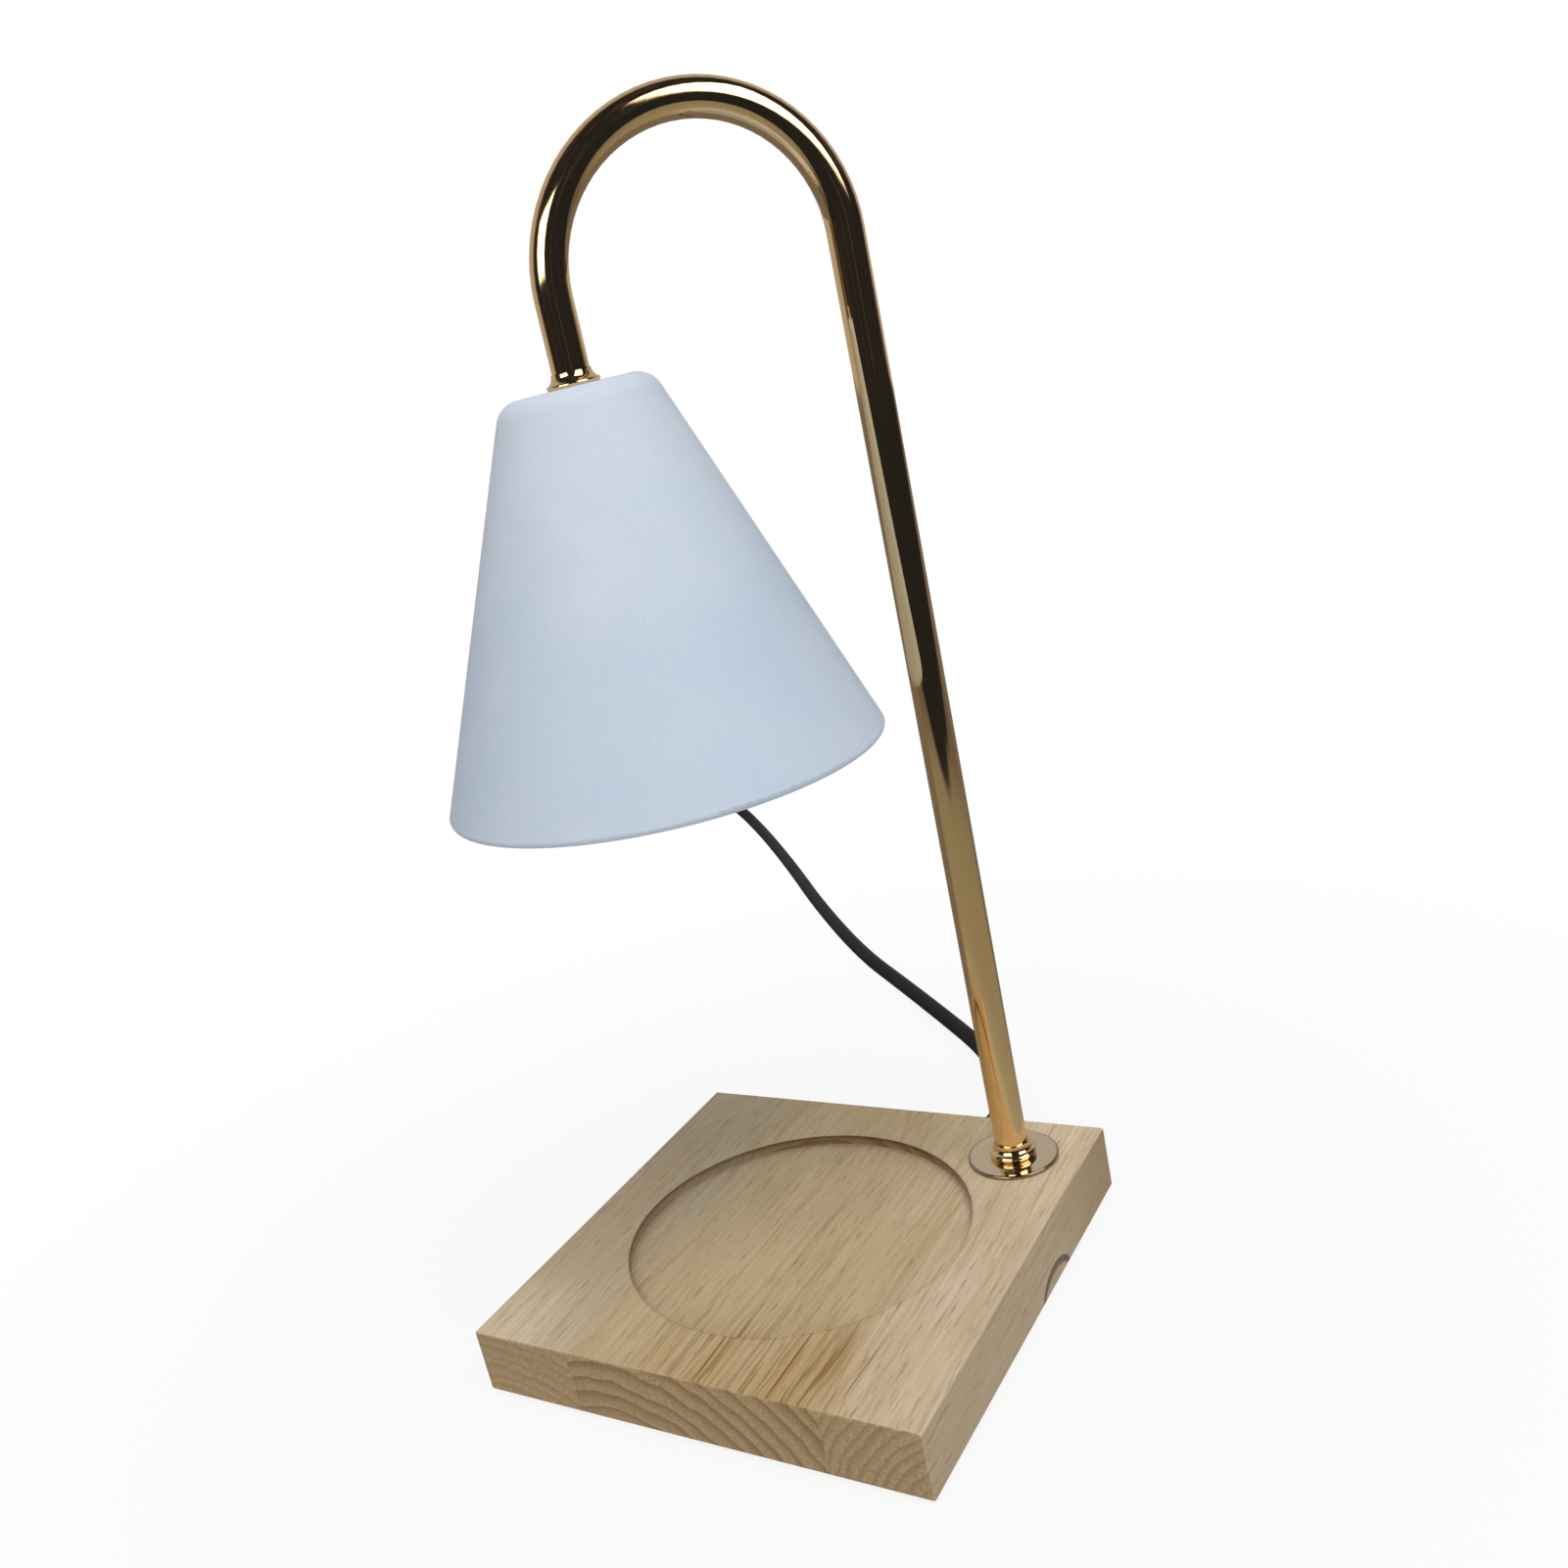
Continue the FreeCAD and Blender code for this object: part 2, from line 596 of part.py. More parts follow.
def make_stem_tube():
    """The gooseneck: an upright, a half circle and a short drop, swept in one pipe."""
    body = new_body("stem_tube")
    rise, drop = arch_centre - stem_foot, stem_tip - stem_foot
    across = size("arch_radius") * 2
    section = new_sketch(body, "XY_Plane")
    disc(section, 0, 0, size("stem_dia"))
    disc(section, 0, 0, size("stem_bore"))
    path = new_sketch(body, "XZ_Plane")
    centre = point(size("arch_radius"), rise, 0)
    circle = Part.Circle(centre, FreeCAD.Vector(0, 0, 1), size("arch_radius").value)
    path.addGeometry(Part.LineSegment(point(0, 0, 0), point(0, rise, 0)), False)
    path.addGeometry(Part.ArcOfCircle(circle, 0, math.pi), False)
    path.addGeometry(Part.LineSegment(point(across, rise, 0), point(across, drop, 0)), False)
    for places, x, y in (((0, 1), 0, 0), ((0, 2), 0, rise), ((2, 1), across, rise),
                         ((2, 2), across, drop)):
        hold(path, "DistanceX", (-1, 1, *places), x)
        hold(path, "DistanceY", (-1, 1, *places), y)
    path.addConstraint(Sketcher.Constraint("Coincident", 0, 2, 1, 2))
    path.addConstraint(Sketcher.Constraint("Coincident", 2, 1, 1, 1))
    hold(path, "DistanceY", (-1, 1, 1, 3), rise)
    doc.recompute()
    pipe = body.newObject("PartDesign::AdditivePipe", "Gooseneck")
    pipe.Profile = section
    pipe.Spine = (path, ["Edge1", "Edge2", "Edge3"])
    doc.recompute()
    keep(place(body, x=stem_at, y=stem_at, z=stem_foot, turn=STEM_ANGLE), "stem_tube")


def hex_nut(label, **where):
    """Hexagon nut with bevelled corners."""
    body = new_body(label)
    sketch = new_sketch(body, "XY_Plane")
    corner = size("nut_width") / math.sqrt(3.0)
    outline(sketch, [(corner * math.cos(math.radians(60 * step)),
                      corner * math.sin(math.radians(60 * step))) for step in range(6)])
    pad(body, sketch, size("nut_height"))
    sketch = new_sketch(body, "XY_Plane")
    disc(sketch, 0, 0, size("nipple_dia") + 2 * gap)
    pocket(body, sketch, size("nut_height"), up=True)
    return place(body, **where)


def fitting(label, name, **where):
    """A turned socket for the end of the stem: a round bead that sweeps up into a thin lip."""
    hole, seat = nipple_hole / 2, size("stem_dia") / 2 + gap
    rim, lip = size(f"{name}_dia") / 2, seat + size("fitting_lip")
    bead, height, floor = size(f"{name}_bead"), size(f"{name}_height"), size(f"{name}_floor")
    shoulder = rim - bead / 2
    inward, upward = shoulder - lip, height - bead
    sweep = (inward * inward + upward * upward) / (inward * 2)      # upright where it meets the lip
    return turned(label, [
        (hole, 0), (shoulder, 0, bead / 2), (rim, bead / 2, bead / 2),
        (shoulder, bead, -sweep), (lip, height), (seat, height), (seat, floor), (hole, floor)],
        **where)


def make_foot_hardware():
    """What clamps the stem to the board, from the inside of the stem down to the nut."""
    axis = {"x": stem_at, "y": stem_at}
    disc_ring = ring("stem_disc", nipple_hole, size("disc_dia"), size("disc_thickness"),
                     z=base_top, **axis)
    soften(disc_ring, size("disc_thickness") * 0.3,
           lambda edge: on_circle(edge, size("disc_dia") / 2, size("disc_thickness")))
    keep(disc_ring, "stem_disc")

    keep(fitting("stem_collar", "collar", z=disc_top, **axis), "stem_collar")

    washer_low = bay_ceiling - size("washer_thickness")
    spring_low = washer_low - size("spring_washer_thickness")
    nut_low = spring_low - size("nut_height")
    nipple_low = nut_low - size("nipple_spare")
    keep(ring("base_washer", nipple_hole, size("washer_dia"), size("washer_thickness"),
              z=washer_low, **axis), "base_washer")
    keep(ring("spring_washer", nipple_hole, size("spring_washer_dia"),
              size("spring_washer_thickness"), z=spring_low, **axis), "spring_washer")
    keep(hex_nut("base_nut", z=nut_low, **axis), "base_nut")
    keep(ring("base_nipple", size("nipple_bore"), size("nipple_dia"),
              stem_foot + size("nipple_grip") - nipple_low, z=nipple_low, **axis), "base_nipple")


def make_shade_hardware():
    """What clamps the shade and the lampholder to the tip of the stem."""
    axis = {"x": shade_at, "y": shade_at}
    keep(fitting("shade_cap", "cap", z=shade_top, **axis), "shade_cap")
    keep(ring("shade_washer", nipple_hole, size("washer_dia"), size("washer_thickness"),
              z=strap_top, **axis), "shade_washer")
    nut_low = strap_top - size("strap_thickness") - size("nut_height")
    nipple_low = nut_low - size("nipple_spare")
    keep(hex_nut("shade_nut", z=nut_low, **axis), "shade_nut")
    keep(ring("shade_nipple", size("nipple_bore"), size("nipple_dia"),
              stem_tip + size("nipple_grip") - nipple_low, z=nipple_low, **axis), "shade_nipple")


# ---------------------------------------------------------------- shade

def make_shade():
    """Spun cone of even wall: a rounded shoulder, and a lip turned in round its mouth."""
    body = new_body("shade")
    height, wall = size("shade_height"), size("shade_wall")
    top, mouth, shoulder = size("shade_top_dia") / 2, size("shade_mouth_dia") / 2, size("shade_shoulder")
    slope = (mouth - top) / height
    stretch = root(slope * slope + 1)
    ceiling = height - wall
    inner_top = top + slope * wall - wall * stretch
    outer_cut = shoulder * (stretch - slope)
    inner_cut = (shoulder - wall) * (stretch - slope)
    edge = size("shade_edge")
    edge_cut = edge * (stretch + slope)
    lip_cut = (edge - wall) * (stretch + slope)
    lip_end = mouth - edge_cut - size("shade_lip")
    inner_mouth = mouth - wall * stretch - wall * slope
    hole = nipple_hole / 2

    sketch = new_sketch(body, "XZ_Plane")
    outline(sketch, [
        (hole, height), (top - outer_cut, height, -shoulder),
        (top + outer_cut * slope / stretch, height - outer_cut / stretch),
        (mouth - edge_cut * slope / stretch, edge_cut / stretch, -edge),
        (mouth - edge_cut, 0), (lip_end, 0), (lip_end, wall),
        (inner_mouth - lip_cut, wall, edge - wall),
        (inner_mouth - lip_cut * slope / stretch, wall + lip_cut / stretch),
        (inner_top + inner_cut * slope / stretch, ceiling - inner_cut / stretch, shoulder - wall),
        (inner_top - inner_cut, ceiling), (hole, ceiling)])
    revolve(body, sketch)
    keep(place(body, x=shade_at, y=shade_at, z=shade_top - height), "shade")


# ---------------------------------------------------------------- lampholder and bulb

def holder_screw_reach():
    return size("strap_half_span") + size("strap_foot") / 2


def make_holder_strap():
    """Bent strip: it hangs under the shade's washer and carries the lampholder on two feet."""
    body = new_body("holder_strap")
    thick, drop = size("strap_thickness"), size("strap_drop")
    span = size("strap_half_span")
    reach = span + size("strap_foot")
    half = [(reach, -drop), (reach, thick - drop), (span, thick - drop), (span, 0)]
    inner = [(span - thick, -thick), (span - thick, -drop)]
    mirrored = [(-x, y) for x, y in reversed(half)]
    mirrored_inner = [(-x, y) for x, y in reversed(inner)]
    sketch = new_sketch(body, "XZ_Plane")
    outline(sketch, half + mirrored + mirrored_inner + inner)
    pad(body, sketch, size("strap_width"), middle=True)
    sketch = new_sketch(body, "XY_Plane")
    disc(sketch, 0, 0, nipple_hole)
    pocket(body, sketch, size("strap_drop") / 2)
    sketch = new_sketch(body, "XY_Plane", thick - drop)
    for side in (-1, 1):
        disc(sketch, holder_screw_reach() * side, 0, size("holder_screw_dia") + 2 * gap)
    pocket(body, sketch, thick)
    keep(place(body, x=shade_at, y=shade_at, z=strap_top, turn=PIN_ANGLE + 90), "holder_strap")


def cosine(angle):
    return Size(math.cos(math.radians(angle.value)), f"cos({angle.text} * 1 deg)")


def sine(angle):
    return Size(math.sin(math.radians(angle.value)), f"sin({angle.text} * 1 deg)")


def make_lampholder():
    """Ceramic GU10 holder. Each pin enters a round hole, and its head turns in under a ledge:
    a narrow arc slot in the face, a wide arc chamber above it, and rounds at both ends."""
    body = new_body("lampholder")
    height, ledge, chamber = size("holder_height"), size("ledge"), size("chamber_height")
    reach, lock = size("pin_pitch") / 2, size("lock_angle")
    slot = size("pin_dia") + size("hole_gap")
    head = size("pin_head_dia") + size("hole_gap")
    sketch = new_sketch(body, "XY_Plane")
    disc(sketch, 0, 0, size("holder_dia"))
    pad(body, sketch, height)
    soften(body, size("pin_play") * 3, lambda edge: on_circle(edge, size("holder_dia") / 2, 0)
           or on_circle(edge, size("holder_dia") / 2, height), "PartDesign::Chamfer")

    for side in (-1, 1):
        for width, low, high in ((slot, 0, ledge), (head, ledge, chamber)):
            sketch = new_sketch(body, "XZ_Plane")
            box_outline(sketch, reach * side - width / 2, reach * side + width / 2, low, high)
            revolve(body, sketch, "PartDesign::Groove", lock, back=True)
            sketch = new_sketch(body, "XY_Plane", low)
            disc(sketch, reach * side, 0, width + size("turn_gap"))
            pocket(body, sketch, high - low, up=True)
        sketch = new_sketch(body, "XY_Plane")
        disc(sketch, reach * cosine(lock) * side, -reach * sine(lock) * side,
             head + size("turn_gap"))
        pocket(body, sketch, chamber, up=True)

    sketch = new_sketch(body, "XY_Plane", height)
    for side in (-1, 1):
        disc(sketch, reach * side, 0, size("wire_hole_dia"))
    pocket(body, sketch, height - chamber)
    sketch = new_sketch(body, "XY_Plane", height)
    for side in (-1, 1):
        disc(sketch, 0, holder_screw_reach() * side, size("holder_screw_dia") + 2 * gap)
    pocket(body, sketch, size("holder_screw_length"))
    keep(place(body, x=shade_at, y=shade_at, z=holder_face, turn=PIN_ANGLE), "lampholder")


def make_holder_screws():
    head_height = size("holder_head_height")
    shank = size("holder_screw_length") + size("strap_thickness") - size("slide_gap")
    reach = holder_screw_reach() / DIAGONAL
    screws = []
    for side in (-1, 1):
        top = holder_top + size("strap_thickness")
        screws.append(turned("holder_screw", [
            (0, -shank), (size("holder_screw_dia") / 2, -shank), (size("holder_screw_dia") / 2, 0),
            (size("holder_screw_head") / 2, 0), (size("holder_screw_head") / 2, head_height),
            (0, head_height)], x=shade_at + reach * side, y=shade_at + reach * side, z=top))
    group("holder_screws", screws)


def pin_places():
    """Where the two locked pins stand, in the frame of the whole lamp."""
    reach = size("pin_pitch") / 2 / DIAGONAL
    return [(shade_at + reach * side, shade_at - reach * side) for side in (-1, 1)]


def make_contacts():
    """Brass contacts in the top of the two chambers."""
    head_top = size("ledge") + size("pin_play") + size("pin_head_height")
    low = head_top + size("pin_play")
    contacts = [plain_disc("contact", size("pin_head_dia"), size("chamber_height") - low,
                          x=x, y=y, z=holder_face + low) for x, y in pin_places()]
    group("holder_contacts", contacts)


def make_bulb():
    """Reflector bulb: neck with two headed pins, glass cup, capsule and front glass."""
    axis = {"x": shade_at, "y": shade_at, "z": bulb_top}
    neck, neck_length = size("bulb_neck_dia") / 2, size("bulb_neck_length")
    outer, length, wall = size("bulb_dia") / 2, size("bulb_length"), size("bulb_wall")
    rim, lens, curve = size("bulb_rim"), size("lens_thickness"), size("bulb_curve")
    bevel = size("turn_gap") * 3
    keep(turned("bulb_neck", [(0, 0), (neck - bevel, 0), (neck, -bevel), (neck, -neck_length),
                              (0, -neck_length)], **axis), "bulb_neck")

    seat = outer - wall
    inner = seat - wall / 2
    keep(turned("bulb_reflector", [
        (neck, -neck_length, -curve), (outer, rim - length), (outer, -length), (seat, -length),
        (seat, lens - length), (inner, lens - length), (inner, rim - length, curve),
        (neck - wall, -neck_length)], **axis), "bulb_reflector")
    keep(turned("bulb_lens", [(0, -length), (seat - gap, -length), (seat - gap, lens - length),
                              (0, lens - length)], **axis), "bulb_lens")
    capsule, reach = size("capsule_dia") / 2, size("capsule_length")
    keep(turned("bulb_capsule", [
        (0, -neck_length), (capsule, -neck_length), (capsule, capsule - neck_length - reach, -capsule),
        (0, -neck_length - reach)], **axis), "bulb_capsule")

    head_low = size("turn_gap") + size("ledge") + size("pin_play")
    head_top = head_low + size("pin_head_height")
    pin, head = size("pin_dia") / 2, size("pin_head_dia") / 2
    pins = [turned("bulb_pin", [(0, 0), (pin, 0), (pin, head_low), (head, head_low),
                                (head, head_top), (0, head_top)], x=x, y=y, z=bulb_top)
            for x, y in pin_places()]
    group("bulb_pins", pins)


# ---------------------------------------------------------------- wires

def make_leads():
    """Two insulated wires from the terminal block through the stem to the holder's contacts."""
    block_low = bay_ceiling - size("block_height")
    lead_height = block_low + size("block_floor")
    low = (cover_top + block_low).value / 2 + size("wire_dia").value
    radius = size("arch_radius").value
    stem, shade = stem_at.value, shade_at.value
    crown = arch_centre.value + radius
    block_face = (block_x + size("block_width") / 2).value
    contact_top = (holder_face + size("chamber_height")).value
    bow_low = (holder_top + size("wire_bow_gap") * 2).value
    nut_low = strap_top - size("strap_thickness") - size("nut_height")
    bow_high = (nut_low - size("wire_bow_gap")).value
    for side, label in ((-1, "live_lead"), (1, "neutral_lead")):
        shift = size("wire_offset").value * side / DIAGONAL
        reach = size("pin_pitch").value / 2 * side / DIAGONAL
        pole = block_y.value - size("pole_pitch").value / 2 * side
        points = [
            (block_face - size("wire_bite").value, pole, lead_height.value),
            (block_face + size("wire_run").value, pole, lead_height.value),
            (stem + shift, stem - shift, low),
            (stem + shift, stem - shift, crown),
            (shade + shift, shade - shift, crown),
            (shade + shift, shade - shift, bow_high),
            (shade + reach, shade - reach, bow_low),
            (shade + reach, shade - reach, contact_top),
        ]
        bend = size("wire_bend").value
        keep(bent_rod(label, points, size("wire_dia"), [bend, bend, radius, radius, bend, bend]), label)


def make_cord_cores():
    """The two cores between the end of the cord's sheath and the terminal block."""
    block_low = bay_ceiling - size("block_height")
    height = (block_low + size("block_floor")).value
    sheath_end = (bay_back - size("cord_tail")).value
    face = (block_x - size("block_width") / 2).value
    cores = []
    for side in (-1, 1):
        x = exit_x.value + size("wire_offset").value * side
        pole = block_y.value + size("pole_pitch").value / 2 * side
        cores.append(bent_rod("cord_core", [
            (x, sheath_end, size("cord_exit_height").value),
            (x, pole, height), (face + size("wire_bite").value, pole, height)],
            size("wire_dia"), [size("core_bend").value]))
    group("cord_cores", cores)


# ---------------------------------------------------------------- mains cord and what is on it

def on_table(place):
    """A point of the cord's route in the frame of the whole lamp."""
    return (exit_x.value + place[0], half_base.value + place[1], place[2])


def ahead(distance, aside=0.0, height=0.0):
    """A point on the line of the dimmer: distance past the end of the route, and to its right."""
    angle = math.radians(DIMMER_HEADING)
    start = on_table(CORD_ROUTE[-1])
    return (start[0] + distance * math.cos(angle) + aside * math.sin(angle),
            start[1] + distance * math.sin(angle) - aside * math.cos(angle), height)


def make_gland():
    """Tapered strain relief: a neck through the back wall, a flange outside and a long sleeve."""
    bore = size("cord_dia") / 2 + gap
    neck, flange = size("gland_neck_dia") / 2, size("gland_flange")
    rim = size("gland_dia") / 2 + size("gland_rim")
    body = turned("cord_gland", [
        (bore, -size("bay_wall")), (neck, -size("bay_wall")), (neck, 0), (rim, 0),
        (rim, flange), (size("gland_dia") / 2, flange),
        (size("gland_tip_dia") / 2, size("gland_length")), (bore, size("gland_length"))],
        x=exit_x, y=half_base, z=size("cord_exit_height"), turn=-90.0, axis=(1, 0, 0))
    keep(body, "cord_gland")


def sleeve(label, distance, turn_back, height):
    """Tapered sleeve whose wide end is at this distance along the dimmer line."""
    bore = size("cord_dia") / 2 + gap
    body = turned(label, [
        (bore, 0), (size("relief_dia") / 2, 0), (size("gland_tip_dia") / 2, size("relief_length")),
        (bore, size("relief_length"))])
    return lay(body, distance, height, turn_back)


def lay(body, distance, height, turn_back=False, aside=0.0):
    """Lay an upright turned piece down along the dimmer line, pointing ahead or back."""
    body.Placement = FreeCAD.Placement(
        FreeCAD.Vector(*ahead(distance, aside, value_of(height))),
        FreeCAD.Rotation(FreeCAD.Vector(0, 0, 1), DIMMER_HEADING + (180 if turn_back else 0))
        * FreeCAD.Rotation(FreeCAD.Vector(0, 1, 0), 90))
    return body


def make_cords():
    """The cord in three plain stretches: to the dimmer, to the coil, and to the plug."""
    axis = size("dimmer_height").value / 2
    inside = (size("relief_length") + size("dimmer_end") - size("lead_play")).value
    tail = (exit_x.value, (bay_back - size("cord_tail")).value, size("cord_exit_height").value)
    route = [tail, *map(on_table, CORD_ROUTE), ahead(SLEEVE_START + inside, 0, axis)]
    keep(bent_rod("lamp_cord", route, size("cord_dia")), "lamp_cord")

    dimmer_out = SLEEVE_START + (size("relief_length") + size("dimmer_length")).value
    run = size("lead_run").value
    coil_middle = (size("tie_thickness") + size("coil_height") / 2).value
    coil_lead = [ahead(dimmer_out + (size("lead_play") - size("dimmer_end")).value, 0, axis),
                 ahead(dimmer_out + size("relief_length").value + run, 0, axis),
                 ahead(COIL_ALONG - COIL_OVERLAP, 0, coil_middle)]
    keep(bent_rod("coil_lead", coil_lead, size("cord_dia")), "coil_lead")

    aside = coil_radius() * 2
    coil_high = (size("tie_thickness") + size("coil_height") - size("cord_dia") / 2).value
    plug_axis = size("plug_height").value / 2
    plug_rear = COIL_ALONG - PLUG_RUN - size("relief_length").value
    plug_lead = [ahead(COIL_ALONG - COIL_OVERLAP, aside, coil_high),
                 ahead(COIL_ALONG - PLUG_RUN + run, aside, plug_axis),
                 ahead(plug_rear, aside, plug_axis)]
    keep(bent_rod("plug_lead", plug_lead, size("cord_dia")), "plug_lead")


def coil_radius():
    """Middle radius of the outer turns."""
    return (size("coil_dia").value + size("coil_width").value - size("cord_dia").value) / 2


def make_coil():
    """The coiled length as one closed ring, tied with a strap."""
    inner = (size("coil_dia") - size("coil_width")) / 2
    outer = (size("coil_dia") + size("coil_width")) / 2
    centre = ahead(COIL_ALONG, coil_radius())
    body = turned("cord_coil", [(inner, 0), (outer, 0), (outer, size("coil_height")),
                                (inner, size("coil_height"))])
    soften(body, size("cord_dia") / 2 - gap, lambda edge: isinstance(edge.Curve, Part.Circle))
    keep(place(body, x=centre[0], y=centre[1], z=size("tie_thickness")), "cord_coil")

    tie = new_body("coil_tie")
    thick = size("tie_thickness")
    half, height = size("coil_width") / 2, size("coil_height")
    sketch = new_sketch(tie, "XZ_Plane")
    box_outline(sketch, -half - thick, half + thick, 0, height + 2 * thick)
    box_outline(sketch, -half - gap, half + gap, thick - gap, height + thick + gap)
    pad(tie, sketch, size("tie_width"), middle=True)
    middle = ahead(COIL_ALONG + size("coil_dia").value / 2, coil_radius())
    keep(place(tie, x=middle[0], y=middle[1], turn=DIMMER_HEADING), "coil_tie")


def shell(label, low, high):
    """One half of the dimmer's housing, from low to high, open towards the other half."""
    body = new_body(label)
    upper = value_of(low) > 0
    half_length, half_width = size("dimmer_length") / 2, size("dimmer_width") / 2
    height, wall = size("dimmer_height"), size("dimmer_wall")
    cavity = half_length - size("dimmer_end")
    sketch = new_sketch(body, "XY_Plane", low)
    box_outline(sketch, -half_length, half_length, -half_width, half_width)
    pad(body, sketch, high - low)
    soften(body, size("dimmer_corner"), is_upright)
    outside = height if upper else Size(0.0, "0")
    soften(body, size("dimmer_edge"), lambda edge: all(
        abs(vertex.Z - outside.value) < 1e-6 for vertex in edge.Vertexes))
    sketch = new_sketch(body, "XY_Plane", low if upper else wall)
    box_outline(sketch, -cavity, cavity, wall - half_width, half_width - wall)
    pocket(body, sketch, high - low - wall, up=True)
    sketch = new_sketch(body, "YZ_Plane")
    disc(sketch, 0, height / 2, size("cord_dia") + 2 * gap)
    pocket(body, sketch, size("dimmer_length"), middle=True)
    wheel, inside = size("wheel_dia") / 2, half_width - wall
    slot = root(wheel * wheel - inside * inside) + size("turn_gap") * 3
    room = size("wheel_thickness") / 2 + size("turn_gap")
    sketch = new_sketch(body, "XZ_Plane")
    box_outline(sketch, -slot, slot, height / 2 - room, height / 2 + room)
    pocket(body, sketch, size("dimmer_width"), middle=True)
    sketch = new_sketch(body, "XY_Plane", 0)
    for x, y in dimmer_screw_places():
        disc(sketch, x, y, size("dimmer_screw_dia") + 2 * gap)
    pocket(body, sketch, height - wall, up=True)
    if not upper:
        sketch = new_sketch(body, "XY_Plane", 0)
        for x, y in dimmer_screw_places():
            disc(sketch, x, y, size("dimmer_screw_head") + 2 * gap)
        pocket(body, sketch, wall, up=True)
    set_in_line(body)
    keep(body, label)


def set_in_line(body, height=0.0):
    """Stand a piece of the dimmer at the dimmer's middle, along its heading."""
    middle = SLEEVE_START + (size("relief_length") + size("dimmer_length") / 2).value
    body.Placement = FreeCAD.Placement(
        FreeCAD.Vector(*ahead(middle, 0, value_of(height))),
        FreeCAD.Rotation(FreeCAD.Vector(0, 0, 1), DIMMER_HEADING))
    if isinstance(height, Size):
        body.setExpression("Placement.Base.z", height.text)
    return body


def dimmer_screw_places():
    x = size("dimmer_length") / 2 - size("dimmer_screw_head") / 2 - size("dimmer_screw_end")
    y = size("dimmer_width") / 2 - size("dimmer_screw_head") / 2 - size("dimmer_screw_side")
    return [(x, y), (-x, -y)]


def make_dimmer():
    height, wall = size("dimmer_height"), size("dimmer_wall")
    shell("dimmer_lower_shell", Size(0.0, "0"), height / 2)
    shell("dimmer_upper_shell", height / 2, height)

    board = new_body("dimmer_board")
    cavity = size("dimmer_length") / 2 - size("dimmer_end") - size("turn_gap")
    half = size("dimmer_width") / 2 - wall - size("turn_gap")
    sketch = new_sketch(board, "XY_Plane", wall)
    box_outline(sketch, -cavity, cavity, -half, half)
    pad(board, sketch, size("board_thickness"))
    pot_low = wall + size("board_thickness")
    pot_top = height / 2 - size("wheel_thickness") / 2 - size("turn_gap")
    for diameter, low, high in ((size("pot_dia"), pot_low, pot_top),
                                (size("spindle_dia"), pot_top, height - wall - size("turn_gap"))):
        sketch = new_sketch(board, "XY_Plane", low)
        disc(sketch, 0, 0, diameter)
        pad(board, sketch, high - low)
    set_in_line(board)
    keep(board, "dimmer_board")

    wheel = new_body("dimmer_wheel")
    sketch = new_sketch(wheel, "XY_Plane")
    disc(sketch, 0, 0, size("wheel_dia"))
    pad(wheel, sketch, size("wheel_thickness"), middle=True)
    sketch = new_sketch(wheel, "XY_Plane")
    disc(sketch, 0, 0, size("spindle_dia") + 2 * gap)
    pocket(wheel, sketch, size("wheel_thickness"), middle=True)
    sketch = new_sketch(wheel, "XY_Plane")
    disc(sketch, size("wheel_dia") / 2 + size("flute_dia") * 0.15, 0, size("flute_dia"))
    flute = pocket(wheel, sketch, size("wheel_thickness"), middle=True)
    flutes = wheel.newObject("PartDesign::PolarPattern", "Flutes")
    flutes.Originals = [flute]
    flutes.Axis = (sketch, ["N_Axis"])
    flutes.Angle = 360.0
    flutes.Occurrences = int(size("wheel_flutes").value)
    wheel.Tip = flutes
    doc.recompute()
    set_in_line(wheel, height / 2)
    keep(wheel, "dimmer_wheel")

    head_height = size("dimmer_wall") - size("slide_gap")
    length = height - wall * 2 - size("slide_gap")
    angle = math.radians(DIMMER_HEADING)
    middle = ahead(SLEEVE_START + (size("relief_length") + size("dimmer_length") / 2).value)
    screws = []
    for x, y in dimmer_screw_places():
        across = (x.value * math.cos(angle) - y.value * math.sin(angle),
                  x.value * math.sin(angle) + y.value * math.cos(angle))
        screws.append(pan_screw("dimmer_screw", size("dimmer_screw_dia"), size("dimmer_screw_head"),
                                length, head_height, x=middle[0] + across[0],
                                y=middle[1] + across[1], z=size("slide_gap")))
    group("dimmer_screws", screws)

    near = SLEEVE_START + size("relief_length").value
    far = near + size("dimmer_length").value
    group("dimmer_sleeves", [sleeve("near_sleeve", near, True, height / 2),
                             sleeve("far_sleeve", far, False, height / 2)])


